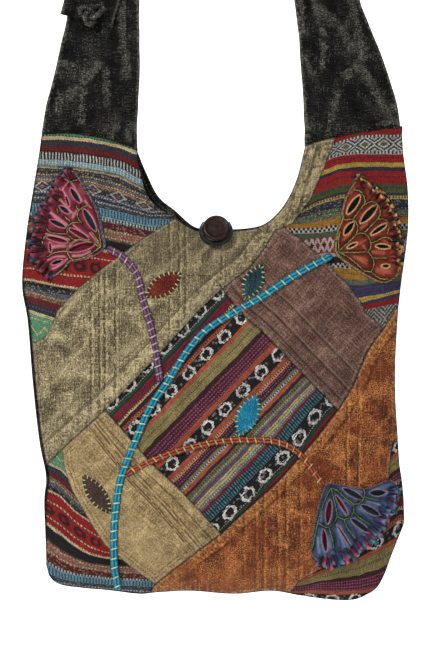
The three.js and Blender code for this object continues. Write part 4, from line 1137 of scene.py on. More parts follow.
# Patches: node, slot, material.
PATCH_LOOKS = {
    "olive": ("olive_yoke_patch", "olive_cotton", washed("olive_cotton", OLIVE_STOPS, olive_marks)),
    "maroon": ("maroon_patch", "maroon_cotton",
               washed("maroon_cotton", MAROON_STOPS, maroon_marks, turn=SLANT)),
    "centre": ("centre_woven_patch", "centre_woven",
               woven("centre_woven", CENTRE_BANDS, CENTRE_MOTIFS, CENTRE_GAIN)),
    "khaki": ("khaki_patch", "khaki_cotton", washed("khaki_cotton", KHAKI_STOPS, khaki_marks, turn=SLANT)),
    "rust": ("rust_patch", "rust_cotton", washed("rust_cotton", RUST_STOPS, rust_marks, contrast=1.4)),
}
pucker_noise = Noise(23)
crinkle_noise = Noise(29)


def block(left, top, right, bottom):
    corners = [(left, top), (right, top), (right, bottom), (left, bottom)]
    return closed_ring(np.array(corners, float), CUT_STEP)


def pucker(sheet, reach, rise):
    """Small tucks that a hem's stitching pulls into the cloth, standing out of the face."""
    ripple = pucker_noise(sheet.across / 4.5, sheet.down / 4.5)
    return rise * np.maximum(0, ripple) * bell(sheet.edge - reach, reach)


def side_seam(sheet):
    """How far in the cut edge turns: to the back along the sides and the hem, a little elsewhere."""
    gap = bulge(sheet.across, sheet.down) * (1 + BACK_SHARE) + rumple(sheet.across, sheet.down)
    gap += back_rumple(sheet.across, sheet.down)
    open_lines = (MOUTH_FRONT, SEAM_LEFT, SEAM_RIGHT)
    open_edge = np.min([away_line(sheet.flat, line) for line in open_lines], axis=0)
    sewn = (away_line(sheet.flat, np.vstack([FACE, FACE[:1]])) < 0.8) * smooth(open_edge, 2, 9)
    return 0.1 - sewn * (gap + 0.4)


def make_bases():
    for key, (bounds, weave, bands, motifs, flecks) in BASES.items():
        sheet = Sheet([FACE, block(*bounds)], BASE_SPACING)
        height = BASE_OUT + rolled(sheet.edge, *BASE_ROLL)
        material = woven(f"{key}_woven", bands, motifs, BASE_GAIN, flecks)
        piece = lay(f"{key}_base", sheet, height, side_seam(sheet), material, weave(sheet))
        declare(sheet, f"{key}_woven", [f"{key}_woven_base"])


def crinkle(sheet, rise):
    """Fine creases of washed cloth, standing out of the face, and their share of the rise."""
    lean = sheet.across * 0.75 + sheet.down * 0.66
    cross = sheet.across * 0.66 - sheet.down * 0.75
    broad = 1 - np.abs(crinkle_noise(lean / 13, cross / 34))
    small = 1 - np.abs(crinkle_noise(lean / 6 + 60, cross / 13 + 60))
    share = (broad ** 9 * 0.9 + small ** 7 * 0.5) * smooth(sheet.edge, 1, 6)
    return rise * share, share - share.mean()


def patch_height(sheet):
    """A rolled edge with its tucks, a ridge along it and a stitched groove inside that."""
    height = PATCH_OUT + 0.4 + rolled(sheet.edge, *PATCH_ROLL) + pucker(sheet, *PATCH_TUCKS)
    return height + sum(rise * bell(sheet.edge - at, half) for rise, at, half in PATCH_WELTS)


def hem_rise(gap, steps):
    """Doubled cloth up to each step away from the hem, and a groove beyond it."""
    rise = 0
    for at in steps:
        rise += HEM_FOLD * (1 - smooth(gap, at - HEM_SOFT, at + HEM_SOFT))
        rise -= HEM_GROOVE * bell(gap - at - HEM_SOFT, 1.3)
    return rise


def make_patches():
    for key, ring in PATCHES.items():
        node, slot, material = PATCH_LOOKS[key]
        sheet = Sheet([FACE, closed_ring(np.array(ring, float), CUT_STEP)], PATCH_SPACING)
        height = patch_height(sheet)
        if key == "centre":
            extra = centre_weave(sheet)
            height -= 0.4
        else:
            gap = away_line(sheet.flat, HEM_LINES[key])
            rise, crest = crinkle(sheet, PATCH_CRINKLE)
            extra = {"hem": gap, "crest": crest}
            height += hem_rise(gap, HEM_STEPS[key]) + rise
        height = np.maximum(height, BASE_OUT + 0.5)
        piece = lay(f"{key}_patch_cloth", sheet, height, BASE_OUT + 0.05, material, extra)
        declare(sheet, slot, [node])


def make_back():
    sheet = Sheet([BACK], BACK_SPACING)
    rise, crest = crinkle(sheet, BACK_CRINKLE)
    height = BACK_OUT + rolled(sheet.edge, *BACK_ROLL) + rise
    material = washed("back_cotton", BLACK_STOPS, back_marks, wear=(120, 116, 104), contrast=0.9, gloss=0.05,
                      sheen=0.0)
    piece = lay("back_panel", sheet, height, 0.05, material, {"crest": crest}, behind=True)
    nodes = [f"back_{level}_{side}" for level in ("upper", "lower") for side in ("left", "right")]
    declare(sheet, "black_cotton", nodes)


def tube_rings(path, radius, sides):
    """Rings of points around a path in metres, turned as little as possible from ring to ring."""
    tangent = unit(np.gradient(path, axis=0))
    normal = np.array((0.0, -1.0, 0.0))
    if abs(tangent[0] @ normal) > 0.9:
        normal = np.array((1.0, 0.0, 0.0))
    normals = []
    for step in tangent:
        normal = normal - step * (normal @ step)
        normal = normal / (np.linalg.norm(normal) + 1e-12)
        normals.append(normal)
    normals = np.array(normals)
    aside = np.cross(tangent, normals)
    angle = np.linspace(0, 2 * math.pi, sides, endpoint=False)[None, :, None]
    spokes = np.cos(angle) * normals[:, None, :] + np.sin(angle) * aside[:, None, :]
    return path[:, None, :] + np.asarray(radius)[:, None, None] * spokes


def tubes(name, runs, material, sides=6, folds=None):
    """Many closed tubes in one mesh; runs are (path, radius along it), folds scale each ring's spokes."""
    points = []
    faces = []
    along = []
    around = []
    first = 0
    for path, radius in runs:
        ring = tube_rings(path, radius, sides)
        if folds is not None:
            ring = path[:, None, :] + (ring - path[:, None, :]) * folds[:, :, None]
        count = len(ring)
        points.append(ring.reshape(-1, 3))
        along.append(np.repeat(lengths(path) / MM, sides))
        around.append(np.tile(np.arange(sides) / sides, count))
        faces += quads(count, sides, True, first)
        faces.append(tuple(first + j for j in range(sides))[::-1])
        faces.append(tuple(first + (count - 1) * sides + j for j in range(sides)))
        first += count * sides
    extra = {"along": np.concatenate(along), "around": np.concatenate(around)}
    return build_mesh(name, np.vstack(points), faces, material, extra)


# A stitch: shares of its length, and of its thickness there.
STITCH_AT = np.array((0.0, 0.12, 0.35, 0.65, 0.88, 1.0))
STITCH_THICK = np.array((0.25, 0.75, 1.0, 1.0, 0.75, 0.25))


def stitch_run(start, end, thick, arch):
    """One small raised stitch between two points in metres."""
    share = STITCH_AT[:, None]
    path = start * (1 - share) + end * share
    path[:, 1] -= arch * thick * np.sin(math.pi * STITCH_AT)
    return path, thick * STITCH_THICK


# Strap rows: x, y, z, width, turn in degrees.
CROWN_RADIUS, CROWN_DROP, CROWN_COUNT, CROWN_WIDTH = 61.6, 60.0, 9, 55
RIGHT_LEG = [
    (138, 0, -485, 97, 0), (136, 0, -455, 96, 0), (133.2, 0, -432, 92.8, 0), (125.2, 0, -392, 81.8, 0),
    (116.9, 0, -358, 70.6, 0), (110.2, 0, -329, 64.2, 0), (98, 0, -272, 58, 8), (84, 0, -205, 55, 38),
    (71, 0, -135, 55, 74),
]
LEFT_LEG = [
    (-71, 0, -135, 55, 74), (-86, -0.6, -195, 55, 38), (-102, -3.4, -250, 55, 8),
    (-112, -4.3, -284, 54.5, 0), (-124, -4.4, -329, 54, 0), (-129.5, -4.4, -350, 54, 0),
]
SHORT_LEG = [
    (-127, 0, -485, 97, 0), (-126, 0, -455, 94.5, 0), (-122, 0, -428, 90.2, 0), (-117, 0, -392, 82.5, 0),
    (-113.5, 0, -355, 73.8, 0), (-111, 0.1, -325, 68, 0), (-110, 0.2, -292, 58, 0),
]
STRAP_THICK, STRAP_STEP, STRAP_COLUMNS = 3.2, 2.2, 30
# A strap's first rows slide up to its seam over this length, and pass it by a little.
SEAM_REACH, SEAM_LAP = 90.0, 2.5
# First and last place across that a seam is followed to.
SEAM_ENDS = (44, 402)
strap_noise = Noise(37)


def crown_rows():
    rows = []
    for k in range(CROWN_COUNT):
        angle = math.pi * (k + 0.5) / CROWN_COUNT
        high = CROWN_RADIUS * math.sin(angle) - CROWN_DROP
        rows.append((CROWN_RADIUS * math.cos(angle), 0, high, CROWN_WIDTH, 90))
    return rows


def strap_rows(rows):
    """Even rows along a strap, and how far along it they lie."""
    table = curve(rows, 3.0)
    run = lengths(table[:, :3])
    at = np.linspace(0, run[-1], int(run[-1] / STRAP_STEP) + 1)
    return np.stack([np.interp(at, run, column) for column in table.T], axis=1), at


def cut_at_seam(points, run):
    """Slides the first rows of every column up to the shoulder seam."""
    result = points.copy()
    for j in range(points.shape[1]):
        line = points[:, j, :]
        across = np.clip(line[:, 0] + CENTRE, *SEAM_ENDS)
        shoulder = SEAM_LEFT if np.mean(across) < CENTRE else SEAM_RIGHT
        over = -DROP - line[:, 2] - (spline(shoulder[:, 0], shoulder[:, 1])(across) + SEAM_LAP)
        first = int(np.argmax(over < 0))
        share = over[first - 1] / max(over[first - 1] - over[first], 1e-6)
        start = run[first - 1] + share * (run[first] - run[first - 1])
        moved = np.where(run < SEAM_REACH, start + run * (SEAM_REACH - start) / SEAM_REACH, run)
        result[:, j] = np.stack([np.interp(moved, run, column) for column in line.T], axis=1)
    return result


def strap_surface(table, run):
    """Points of a folded band of two layers with soft creases, their place across it and gap to its edge."""
    along = unit(np.gradient(table[:, :3], axis=0))
    flat = np.stack([along[:, 2], np.zeros(len(along)), -along[:, 0]], axis=1)
    turn = np.radians(table[:, 4])[:, None]
    aside = flat * np.cos(turn) + np.array((0.0, 1.0, 0.0)) * np.sin(turn)
    normal = np.cross(aside, along)
    even = np.linspace(-1, 1, STRAP_COLUMNS)
    share = np.sin(even * math.pi / 2) * 0.35 + even * 0.65
    u = np.concatenate([share, share[::-1]])[None, :]
    layer = np.repeat((1.0, -1.0), STRAP_COLUMNS)[None, :]
    down = run[:, None]
    half = table[:, 3:4] / 2
    edge = half * (1 - np.abs(u))
    slim = np.sqrt(np.clip(edge / 2.2, 0.04, 1))
    crease = 0.8 * strap_noise(u * half / 13 + 5, down / 34) + 0.5 * strap_noise(u * half / 6, down / 11)
    high = layer * STRAP_THICK / 2 * slim + crease * np.minimum(1, edge / 5) * 0.8
    wave = 0.7 * strap_noise(np.sign(u) * 9 + down / 16, down * 0.0 + 3.5) * np.abs(u) ** 3
    shift = aside[:, None] * (u * half + wave)[..., None] + normal[:, None] * high[..., None]
    return table[:, None, :3] + shift, along, edge


def make_strap(node, rows):
    """One piece of the strap, cut along the shoulder seam."""
    table, run = strap_rows(rows)
    points, along, edge = strap_surface(table, run)
    points = cut_at_seam(points, run)
    count, wide = points.shape[:2]
    faces = quads(count, wide, closed=True)
    for k, order in ((0, 1), (count - 1, -1)):
        row = k * wide
        for j in range(STRAP_COLUMNS - 1):
            faces.append((row + j, row + wide - 1 - j, row + wide - 2 - j, row + j + 1)[::order])
    # Where the band turns edge on, its cloth is measured by the depth instead.
    turned = points[:, :, 1] - table[:, None, 1]
    extra = {
        "across": (points[:, :, 0] + CENTRE + turned * np.abs(along[:, None, 2])).ravel(),
        "down": (-DROP - points[:, :, 2] + turned * np.abs(along[:, None, 0])).ravel(),
        "edge": edge.ravel(), "run": np.repeat(run, wide),
    }
    piece = build_mesh(f"{node}_cloth", points.reshape(-1, 3) * MM, faces, strap_cotton, extra)
    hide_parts(node)


def streak(a, d, start, end, half):
    """A soft line on the sheet between two places."""
    (x0, y0), (x1, y1) = start, end
    long = math.hypot(x1 - x0, y1 - y0)
    ux = (x1 - x0) / long
    uy = (y1 - y0) / long
    run = (a - x0) * ux + (d - y0) * uy
    aside = abs((d - y0) * ux - (a - x0) * uy)
    ends = run.ease(-4.0, 4.0) * (1.0 - run.ease(long - 4.0, long + 4.0))
    return (1.0 - aside.ease(half * 0.3, half)) * ends


# Worn streaks of the straps: from, to, half width.
STREAKS = [
    ((121, -40), (121, 50), 5.5), ((123, 50), (125, 78), 6.5), ((137, -60), (137, 140), 2.6),
    ((82, 82), (99, 62), 5.5), ((82, 70), (80, 124), 4.0), ((64, 98), (76, 86), 6.0),
    ((59, 92), (56, 114), 4.5), ((104, 68), (105, 104), 5.0), ((109, 138), (116, 122), 5.0),
    ((127, 124), (127, 141), 5.0), ((57, 62), (74, 64), 4.0), ((298, -40), (301, 34), 5.0),
    ((305, -20), (324, 38), 4.5), ((322, 40), (321, 68), 4.5), ((302, 56), (312, 76), 4.0),
    ((346, -20), (356, 28), 5.0), ((356, 28), (361, 62), 6.0), ((356, 62), (378, 98), 7.0),
    ((375, 94), (392, 121), 6.0), ((376, 124), (400, 121), 3.0), ((302, 90), (306, 138), 3.0),
    ((326, 136), (336, 92), 4.0), ((338, 26), (352, 50), 6.0), ((342, 76), (358, 64), 6.0),
    ((314, 6), (334, 24), 8.0), ((386, 114), (398, 102), 6.0),
]


def strap_marks(m, a, d, edge):
    fleck = m.patchy(a * 0.26, d * 1.8, 3.0, 0.48, 0.62)
    near_a = a + (m.noise(a * 0.16, d * 0.16, 61.0) - 0.5) * 11.0
    near_d = d + (m.noise(a * 0.16, d * 0.16, 67.0) - 0.5) * 11.0
    wear_and_highlight = streak(near_a, near_d, *STREAKS[0])
    for line in STREAKS[1:]:
        wear_and_highlight = wear_and_highlight.high(streak(near_a, near_d, *line))
    broken = m.patchy(a * 0.12, d * 0.2, 71.0, 0.36, 0.6)
    yield wear_and_highlight * fleck * broken * 0.5, (138, 135, 122)
    yield wear_and_highlight * m.patchy(a * 0.5, d * 1.9, 73.0, 0.57, 0.65) * 0.6, (176, 172, 158)
    rows = m.patchy(a * 0.1, d * 1.9, 41.0, 0.52, 0.64) * m.patchy(a * 0.05, d * 0.03, 43.0, 0.4, 0.6)
    yield rows * 0.36, (98, 96, 88)
    run = m.attr("run")
    yield m.near(edge, 12.5, 0.6) * m.patchy(run * 0.3, edge, 57.0, 0.4, 0.55) * 0.6, (6, 6, 6)
    yield (1.0 - edge.ease(0.5, 2.4)) * m.patchy(run * 0.3, edge, 47.0, 0.45, 0.6) * 0.5, (150, 146, 132)


strap_cotton = washed("strap_cotton", STRAP_STOPS, strap_marks, wear=(150, 146, 132), slub=0.7, contrast=0.9,
                      gloss=0.05, sheen=0.0)

# The knot: its place on the sheet, its loops' size and depth, tube, tails, and how far out its back lies.
KNOT_AT = (90.0, 14.0)
KNOT_SIZE, KNOT_DEPTH, KNOT_TUBE, KNOT_TAIL, KNOT_OVER = 3.472, 3.0, 2.6, 10.4, 6.3
KNOT_SIDES = 28
KNOT_STOPS = [(8, 8, 8), (14, 14, 14), (26, 26, 24), (62, 61, 57), (150, 147, 136)]
# Pale flecks on the knot: wear and painted highlight.
KNOT_WEAR_AND_HIGHLIGHT = (190, 186, 172)


def knot_cotton():
    """Washed cotton twisted into a tube, grained along its length."""
    m = Shade("knot_cotton")
    along = m.attr("along")
    around = m.attr("around")
    grain = m.noise(along * 0.25, around * 14.0)
    cloud = m.noise(along * 0.12, around * 3.0, 5.0)
    colour = m.even_ramp((grain + cloud) * 1.3 - 0.8, KNOT_STOPS)
    fleck = m.patchy(along * 1.1, around * 20.0, 9.0, 0.56, 0.66)
    # Pale flecks: wear and painted highlight.
    colour = m.mix(fleck * 0.45, colour, linear(KNOT_WEAR_AND_HIGHLIGHT))
    m.bump(grain * 0.8 + along.wave(0.45), 0.5)
    return m.finish(colour, grain * 0.15 + 0.78)


def make_knot():
    """A trefoil of folded cloth, open at one side, where its two tails leave."""
    t = np.linspace(math.pi / 3 + 0.5, math.pi / 3 + 2 * math.pi - 0.5, 120)
    x = KNOT_SIZE * (np.sin(t) + 2 * np.sin(2 * t))
    y = -KNOT_DEPTH * np.sin(3 * t)
    z = KNOT_SIZE * (np.cos(t) - 2 * np.cos(2 * t))
    path = np.stack([x, y, z], axis=1)
    reach = np.linspace(0, KNOT_TAIL, 10)[1:]
    first = path[0] + np.outer(reach, unit(path[:1] - path[1:2]))
    last = path[-1] + np.outer(reach, unit(path[-1:] - path[-2:-1]))
    path = np.vstack([first[::-1], path, last])
    middle = np.array((KNOT_AT[0] - CENTRE, -KNOT_OVER - KNOT_DEPTH - KNOT_TUBE, -DROP - KNOT_AT[1]))
    steps = np.arange(len(path))
    radius = KNOT_TUBE * (1 + 0.12 * np.sin(steps * 0.7)) * MM
    angle = np.linspace(0, 2 * math.pi, KNOT_SIDES, endpoint=False)[None, :]
    folds = 1 + 0.16 * np.sin(angle * 5 + steps[:, None] * 0.13) * np.sin(angle * 2 + 1)
    piece = tubes("knot_cloth", [((path + middle) * MM, radius)], knot_cotton(), KNOT_SIDES, folds)
    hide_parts("strap_knot")


# Vines: width, distance between stitches, route on the sheet, colours of the cloth and of the stitches.
VINES = {
    "turquoise": {
        "width": 7.7, "period": 9.3,
        "route": [
            (332, 255.5), (302, 271), (281, 284), (262, 296.7), (232, 313.5), (205, 331), (186, 353),
            (169, 379.5), (150, 408), (138, 435), (127, 461.5), (120.2, 481), (115.8, 508), (114, 535),
            (114.3, 565), (117, 583), (118, 590),
        ],
        "stops": [(8, 62, 84), (18, 104, 128), (36, 140, 164), (86, 180, 196)],
        "stitch": ((206, 234, 202), (120, 170, 160)),
    },
    "purple": {
        "width": 7.8, "period": 7.5,
        "route": [
            (107, 248.3), (113, 251), (121, 256), (133, 268), (139, 281), (143, 299), (149, 320),
            (154.5, 344), (159.2, 374.5), (160.6, 382.5),
        ],
        "stops": [(46, 24, 46), (80, 46, 80), (112, 74, 110), (158, 118, 152)],
        "stitch": ((216, 202, 176), (150, 130, 120)),
    },
    "orange": {
        "width": 6.8, "period": 8.0,
        "route": [
            (126.5, 475), (131, 471), (140, 466.5), (155, 459.5), (172, 453), (191, 447.5), (212, 442.5),
            (232, 440.5), (252, 440), (268, 440.5), (282, 443.5), (296, 451), (308, 463), (318, 478),
            (323.5, 486.5),
        ],
        "stops": [(66, 18, 8), (120, 44, 24), (164, 76, 48), (210, 134, 94)],
        "stitch": ((210, 204, 140), (140, 130, 84)),
    },
}
VINE_HIGH, VINE_OUT, VINE_COLUMNS = 4.6, 2.7, 19
# A vine's groove lies a little beside its middle.
GROOVE_AT = -0.05
# A couching stitch: shares of the half width, and its thickness there.
COUCH_AT = np.linspace(-0.95, 1.0, 9)
COUCH_THICK = np.array([0.45] + [0.85] * 7 + [0.45])


def vine_cotton(name, stops):
    m = Shade(name)
    along = m.attr("run")
    aside = m.attr("side")
    grain = m.noise(along * 0.3, aside * 5.0)
    fine = m.cells(along * 1.1, aside * 6.0)
    # The last term paints a light band along each side of the groove: painted highlight.
    value = grain * 1.5 - 0.62 + fine * 0.25 + (1.0 - abs(abs(aside) - 0.45) * 2.4) * 0.45
    colour = m.even_ramp(value, stops)
    # Painted shade: a dark line down the groove.
    colour = m.mix(m.line(aside, GROOVE_AT, 0.02, 0.16) * 0.75, colour, linear(stops[0]))
    # Painted shade: darker where the stitches pinch the roll and down its two sides.
    flank_shade = abs(aside).ease(0.7, 1.0)
    colour = m.tint(colour, ((1.0 - m.attr("pinch")) * -0.5 + 1.05) * (flank_shade * -0.5 + 1.0))
    m.bump(grain + along.wave(0.5) * 0.6 + (aside * 9.0).wave(0.5) * 0.4, 0.45)
    return m.finish(colour, grain * 0.15 + 0.75, sheen=0.08)


def make_vine(key):
    """A stuffed roll pinched by its couching stitches."""
    look = VINES[key]
    period = look["period"]
    line = curve(look["route"], 0.75)
    run = lengths(line)
    heading = unit(np.gradient(line, axis=0))
    aside = np.stack([-heading[:, 1], heading[:, 0]], axis=1)
    pinch = np.abs(np.sin(math.pi * run / period)) ** 0.55
    ends = np.minimum(1, np.minimum(run, run[-1] - run) / 2.5) ** 0.5
    half = look["width"] / 2 * (0.84 + 0.16 * pinch) * (0.45 + 0.55 * ends)
    rise = VINE_HIGH * (0.66 + 0.34 * pinch) * (0.4 + 0.6 * ends)
    angle = np.linspace(-1.02, 1.02, VINE_COLUMNS) * math.pi / 2
    side = np.sin(angle)
    groove = 1.5 * bell(side - GROOVE_AT, 0.17)
    flat = line[:, None] + aside[:, None] * (half[:, None] * side)[..., None]
    out = VINE_OUT + rise[:, None] * np.maximum(0, np.cos(angle)) ** 0.8 - groove * pinch[:, None]
    points = place(flat[..., 0].ravel(), flat[..., 1].ravel(), out.ravel())
    count = len(line)
    faces = [face[:1] + face[:0:-1] for face in quads(count, VINE_COLUMNS)]
    faces.append(tuple(range(VINE_COLUMNS)))
    faces.append(tuple(range(len(points) - 1, len(points) - 1 - VINE_COLUMNS, -1)))
    extra = {"run": np.repeat(run, VINE_COLUMNS), "pinch": np.repeat(pinch, VINE_COLUMNS)}
    extra["side"] = np.tile(side, count)
    piece = build_mesh(f"{key}_vine_cloth", points, faces, vine_cotton(f"{key}_vine", look["stops"]), extra)
    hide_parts(f"{key}_vine")
    runs = []
    for at in np.arange(period, run[-1] - 2, period):
        k = int(np.argmin(np.abs(run - at)))
        spots = []
        for u in COUCH_AT:
            spot = line[k] + aside[k] * half[k] * u + heading[k] * 0.9 * u
            high = rise[k] * math.sqrt(max(0, 1 - u * u)) + 0.45
            spots.append(put_one(*spot, VINE_OUT + high))
        runs.append((np.array(spots), COUCH_THICK * MM))
    thread = tubes(f"{key}_vine_stitches", runs, yarn(f"{key}_stitch", *look["stitch"]))


# Leaves: tip, other tip, width, the cloth under it, colours from dark to light.
LEAVES = {
    "red": ((145.5, 297.5), (181.5, 273), 21, "olive_patch_cloth",
            [(58, 13, 8), (84, 23, 15), (104, 34, 24), (126, 60, 46)]),
    "teal": ((244.5, 299.5), (262, 264.5), 20, "maroon_patch_cloth",
             [(20, 38, 44), (27, 52, 60), (36, 66, 74), (60, 92, 98)]),
    "turquoise": ((238.5, 436.5), (257, 394), 22, "centre_patch_cloth",
                  [(13, 88, 112), (15, 106, 138), (24, 122, 154), (58, 148, 172)]),
    "brown": ((82.5, 474.5), (111, 514), 18.5, "khaki_patch_cloth",
              [(46, 34, 26), (58, 42, 36), (70, 51, 44), (92, 72, 62)]),
}
LEAF_STEP, LEAF_STITCH_GAP, LEAF_STITCH_THICK = 0.8, 5.2, 0.7
# How its edge rolls over, as depth and reach.
LEAF_ROLL = (0.8, 1.0)
# How far a leaf's stitches reach out over its edge and in from it.
STITCH_OUT, STITCH_IN = 1.0, 2.9
leaf_yarn = yarn("leaf_stitch", (206, 220, 158), (130, 140, 92))


def make_leaf(key):
    start, end, width, rests, stops = LEAVES[key]
    start = np.array(start, float)
    end = np.array(end, float)
    long = np.linalg.norm(end - start)
    way = (end - start) / long
    aside = np.array((-way[1], way[0]))
    share = np.linspace(0, 1, 60)
    spine = start + np.outer(share * long, way)
    half = np.outer(width / 2 * np.sin(math.pi * share) ** 0.8, aside)
    ring = resample(np.vstack([spine + half, (spine - half)[::-1][1:]]), LEAF_STEP)[:-1]
    sheet = Sheet([ring], LEAF_STEP)
    height = PATCH_OUT + 2.0 + rolled(sheet.edge, *LEAF_ROLL) + 0.5 * smooth(sheet.edge, 1.5, 6)
    material = washed(f"{key}_leaf_cotton", stops, wear=stops[-1], slub=0.7)
    piece = lay(f"{key}_leaf_cloth", sheet, height, PATCH_OUT - 0.2, material)
    declare(sheet, f"{key}_cotton", [f"{key}_leaf"])
    middle = (start + end) / 2
    runs = []
    for spot in closed_ring(ring, LEAF_STITCH_GAP):
        foot = middle + way * ((spot - middle) @ way) * 0.8
        inward = (foot - spot) / np.linalg.norm(foot - spot)
        outer = put_one(*(spot - inward * STITCH_OUT), PATCH_OUT + 1.2)
        inner = put_one(*(spot + inward * STITCH_IN), PATCH_OUT + 2.5)
        runs.append(stitch_run(outer, inner, LEAF_STITCH_THICK * MM, 0.5))
    thread = tubes(f"{key}_leaf_stitches", runs, leaf_yarn)


# The button: where its post is sewn on and where its disc sits, tilt in degrees, post and sides of the disc.
BUTTON_SEWN = (216.0, 234.0)
BUTTON_AT = (216.3, 229.0)
BUTTON_TILT, BUTTON_POST, POST_RADIUS, BUTTON_SIDES = 24.0, 9.0, 2.2, 72
# Its turned profile: radius, height.
BUTTON_PROFILE = [
    (0, -BUTTON_POST), (POST_RADIUS, -BUTTON_POST), (POST_RADIUS, 0), (9, -0.1), (11.8, 0), (12.8, 0.5),
    (13.4, 1.4), (13.4, 3.4), (13.0, 4.4), (12, 5), (11.0, 5.0), (10.2, 4.6), (9.5, 4.1), (8.8, 3.8),
    (5, 3.9), (0, 4.2),
]
WOOD_STOPS = [
    (0.0, (12, 5, 5)), (0.4, (30, 13, 10)), (0.6, (46, 22, 17)), (0.82, (70, 40, 30)), (1.0, (120, 84, 64)),
]


def button_wood():
    m = Shade("button_wood")
    side = m.attr("across")
    deep = m.attr("down")
    grain = m.noise(side * 0.16, deep * 0.5, 2.0)
    patch = m.noise(side * 0.12, deep * 0.12, 9.0, 3.0)
    colour = m.ramp(grain * 1.1 + patch * 0.9 - 0.55, WOOD_STOPS)
    m.bump(grain + patch, 0.25)
    m.bsdf.inputs["Coat Weight"].default_value = 0.08
    m.bsdf.inputs["Coat Roughness"].default_value = 0.15
    return m.finish(colour, patch * 0.3 + 0.3, specular=0.22)


def make_button():
    """A turned disc on its post, tilted up from the face."""
    profile = curve(BUTTON_PROFILE, 0.5)
    angle = np.linspace(0, 2 * math.pi, BUTTON_SIDES, endpoint=False)
    radius = profile[:, :1]
    high = np.repeat(profile[:, 1:], BUTTON_SIDES, axis=1)
    x, y, z = (part.reshape(-1, 1) for part in (radius * np.cos(angle), radius * np.sin(angle), high))
    tilt = math.radians(BUTTON_TILT)
    face = np.array((0.0, -math.cos(tilt), math.sin(tilt)))
    up = np.array((0.0, math.sin(tilt), math.cos(tilt)))
    over = float(bulge(np.array(BUTTON_SEWN[:1]), np.array(BUTTON_SEWN[1:]))[0]) + PATCH_OUT
    over += BUTTON_POST * math.cos(tilt) + POST_RADIUS * math.sin(tilt) + 0.3
    middle = np.array((BUTTON_AT[0] - CENTRE, -over, -DROP - BUTTON_AT[1]))
    points = middle + x * np.array((1.0, 0, 0)) + y * up + z * face
    faces = [corners[1:] + corners[:1] for corners in quads(len(profile), BUTTON_SIDES, closed=True)]
    extra = {"across": x.ravel(), "down": y.ravel()}
    piece = build_mesh("button_disc", points * MM, faces, button_wood(), extra)
    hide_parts("button")


# Half of the loop: x, y, place down the sheet.
LOOP_HALF = [
    (12.5, 3.2, 240), (12.6, 2.8, 234), (12.4, 0.5, 228), (11.6, -4.0, 224.6), (12.4, -9.0, 225.8),
    (14.0, -12.6, 230.5), (12.2, -14.4, 237.6), (6.8, -15.2, 241.8), (0, -15.4, 243.0),
]
LOOP_STEP, LOOP_RADIUS, LOOP_RIB, LOOP_WIND = 0.3, 3.0, 0.16, 0.9


def loop_cord():
    m = Shade("loop_cord")
    along = m.attr("along")
    around = m.attr("around")
    rib = (along + around * LOOP_WIND).wave(LOOP_WIND / 2) / (LOOP_WIND / 2)
    wear_and_highlight = m.patchy(along * 0.15, around * 2.0, 0.0, 0.5, 0.7)
    # Painted highlight and shade: the ribs of the winding are lighter on their crests and darker between
    # them.
    colour = m.mix(rib * 0.6, linear((8, 8, 9)), linear((38, 38, 41)))
    # Grey patches on the rib crests: wear and painted highlight.
    colour = m.mix(wear_and_highlight * rib * 0.4, colour, linear((110, 108, 106)))
    m.bump(rib, 0.7)
    return m.finish(colour, wear_and_highlight * 0.2 + 0.35, specular=0.5)


def make_loop():
    """A cord wound with thread, both halves alike."""
    half = [(x, y, -DROP - down) for x, y, down in LOOP_HALF]
    path = curve(half + [(-x, y, z) for x, y, z in half[:-1][::-1]], LOOP_STEP)
    winding = np.arange(len(path)) * LOOP_STEP / LOOP_WIND * 2 * math.pi
    radius = LOOP_RADIUS + LOOP_RIB * np.sin(winding)
    piece = tubes("loop_cord_wound", [(path * MM, radius * MM)], loop_cord(), sides=20)
    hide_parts("button_loop")


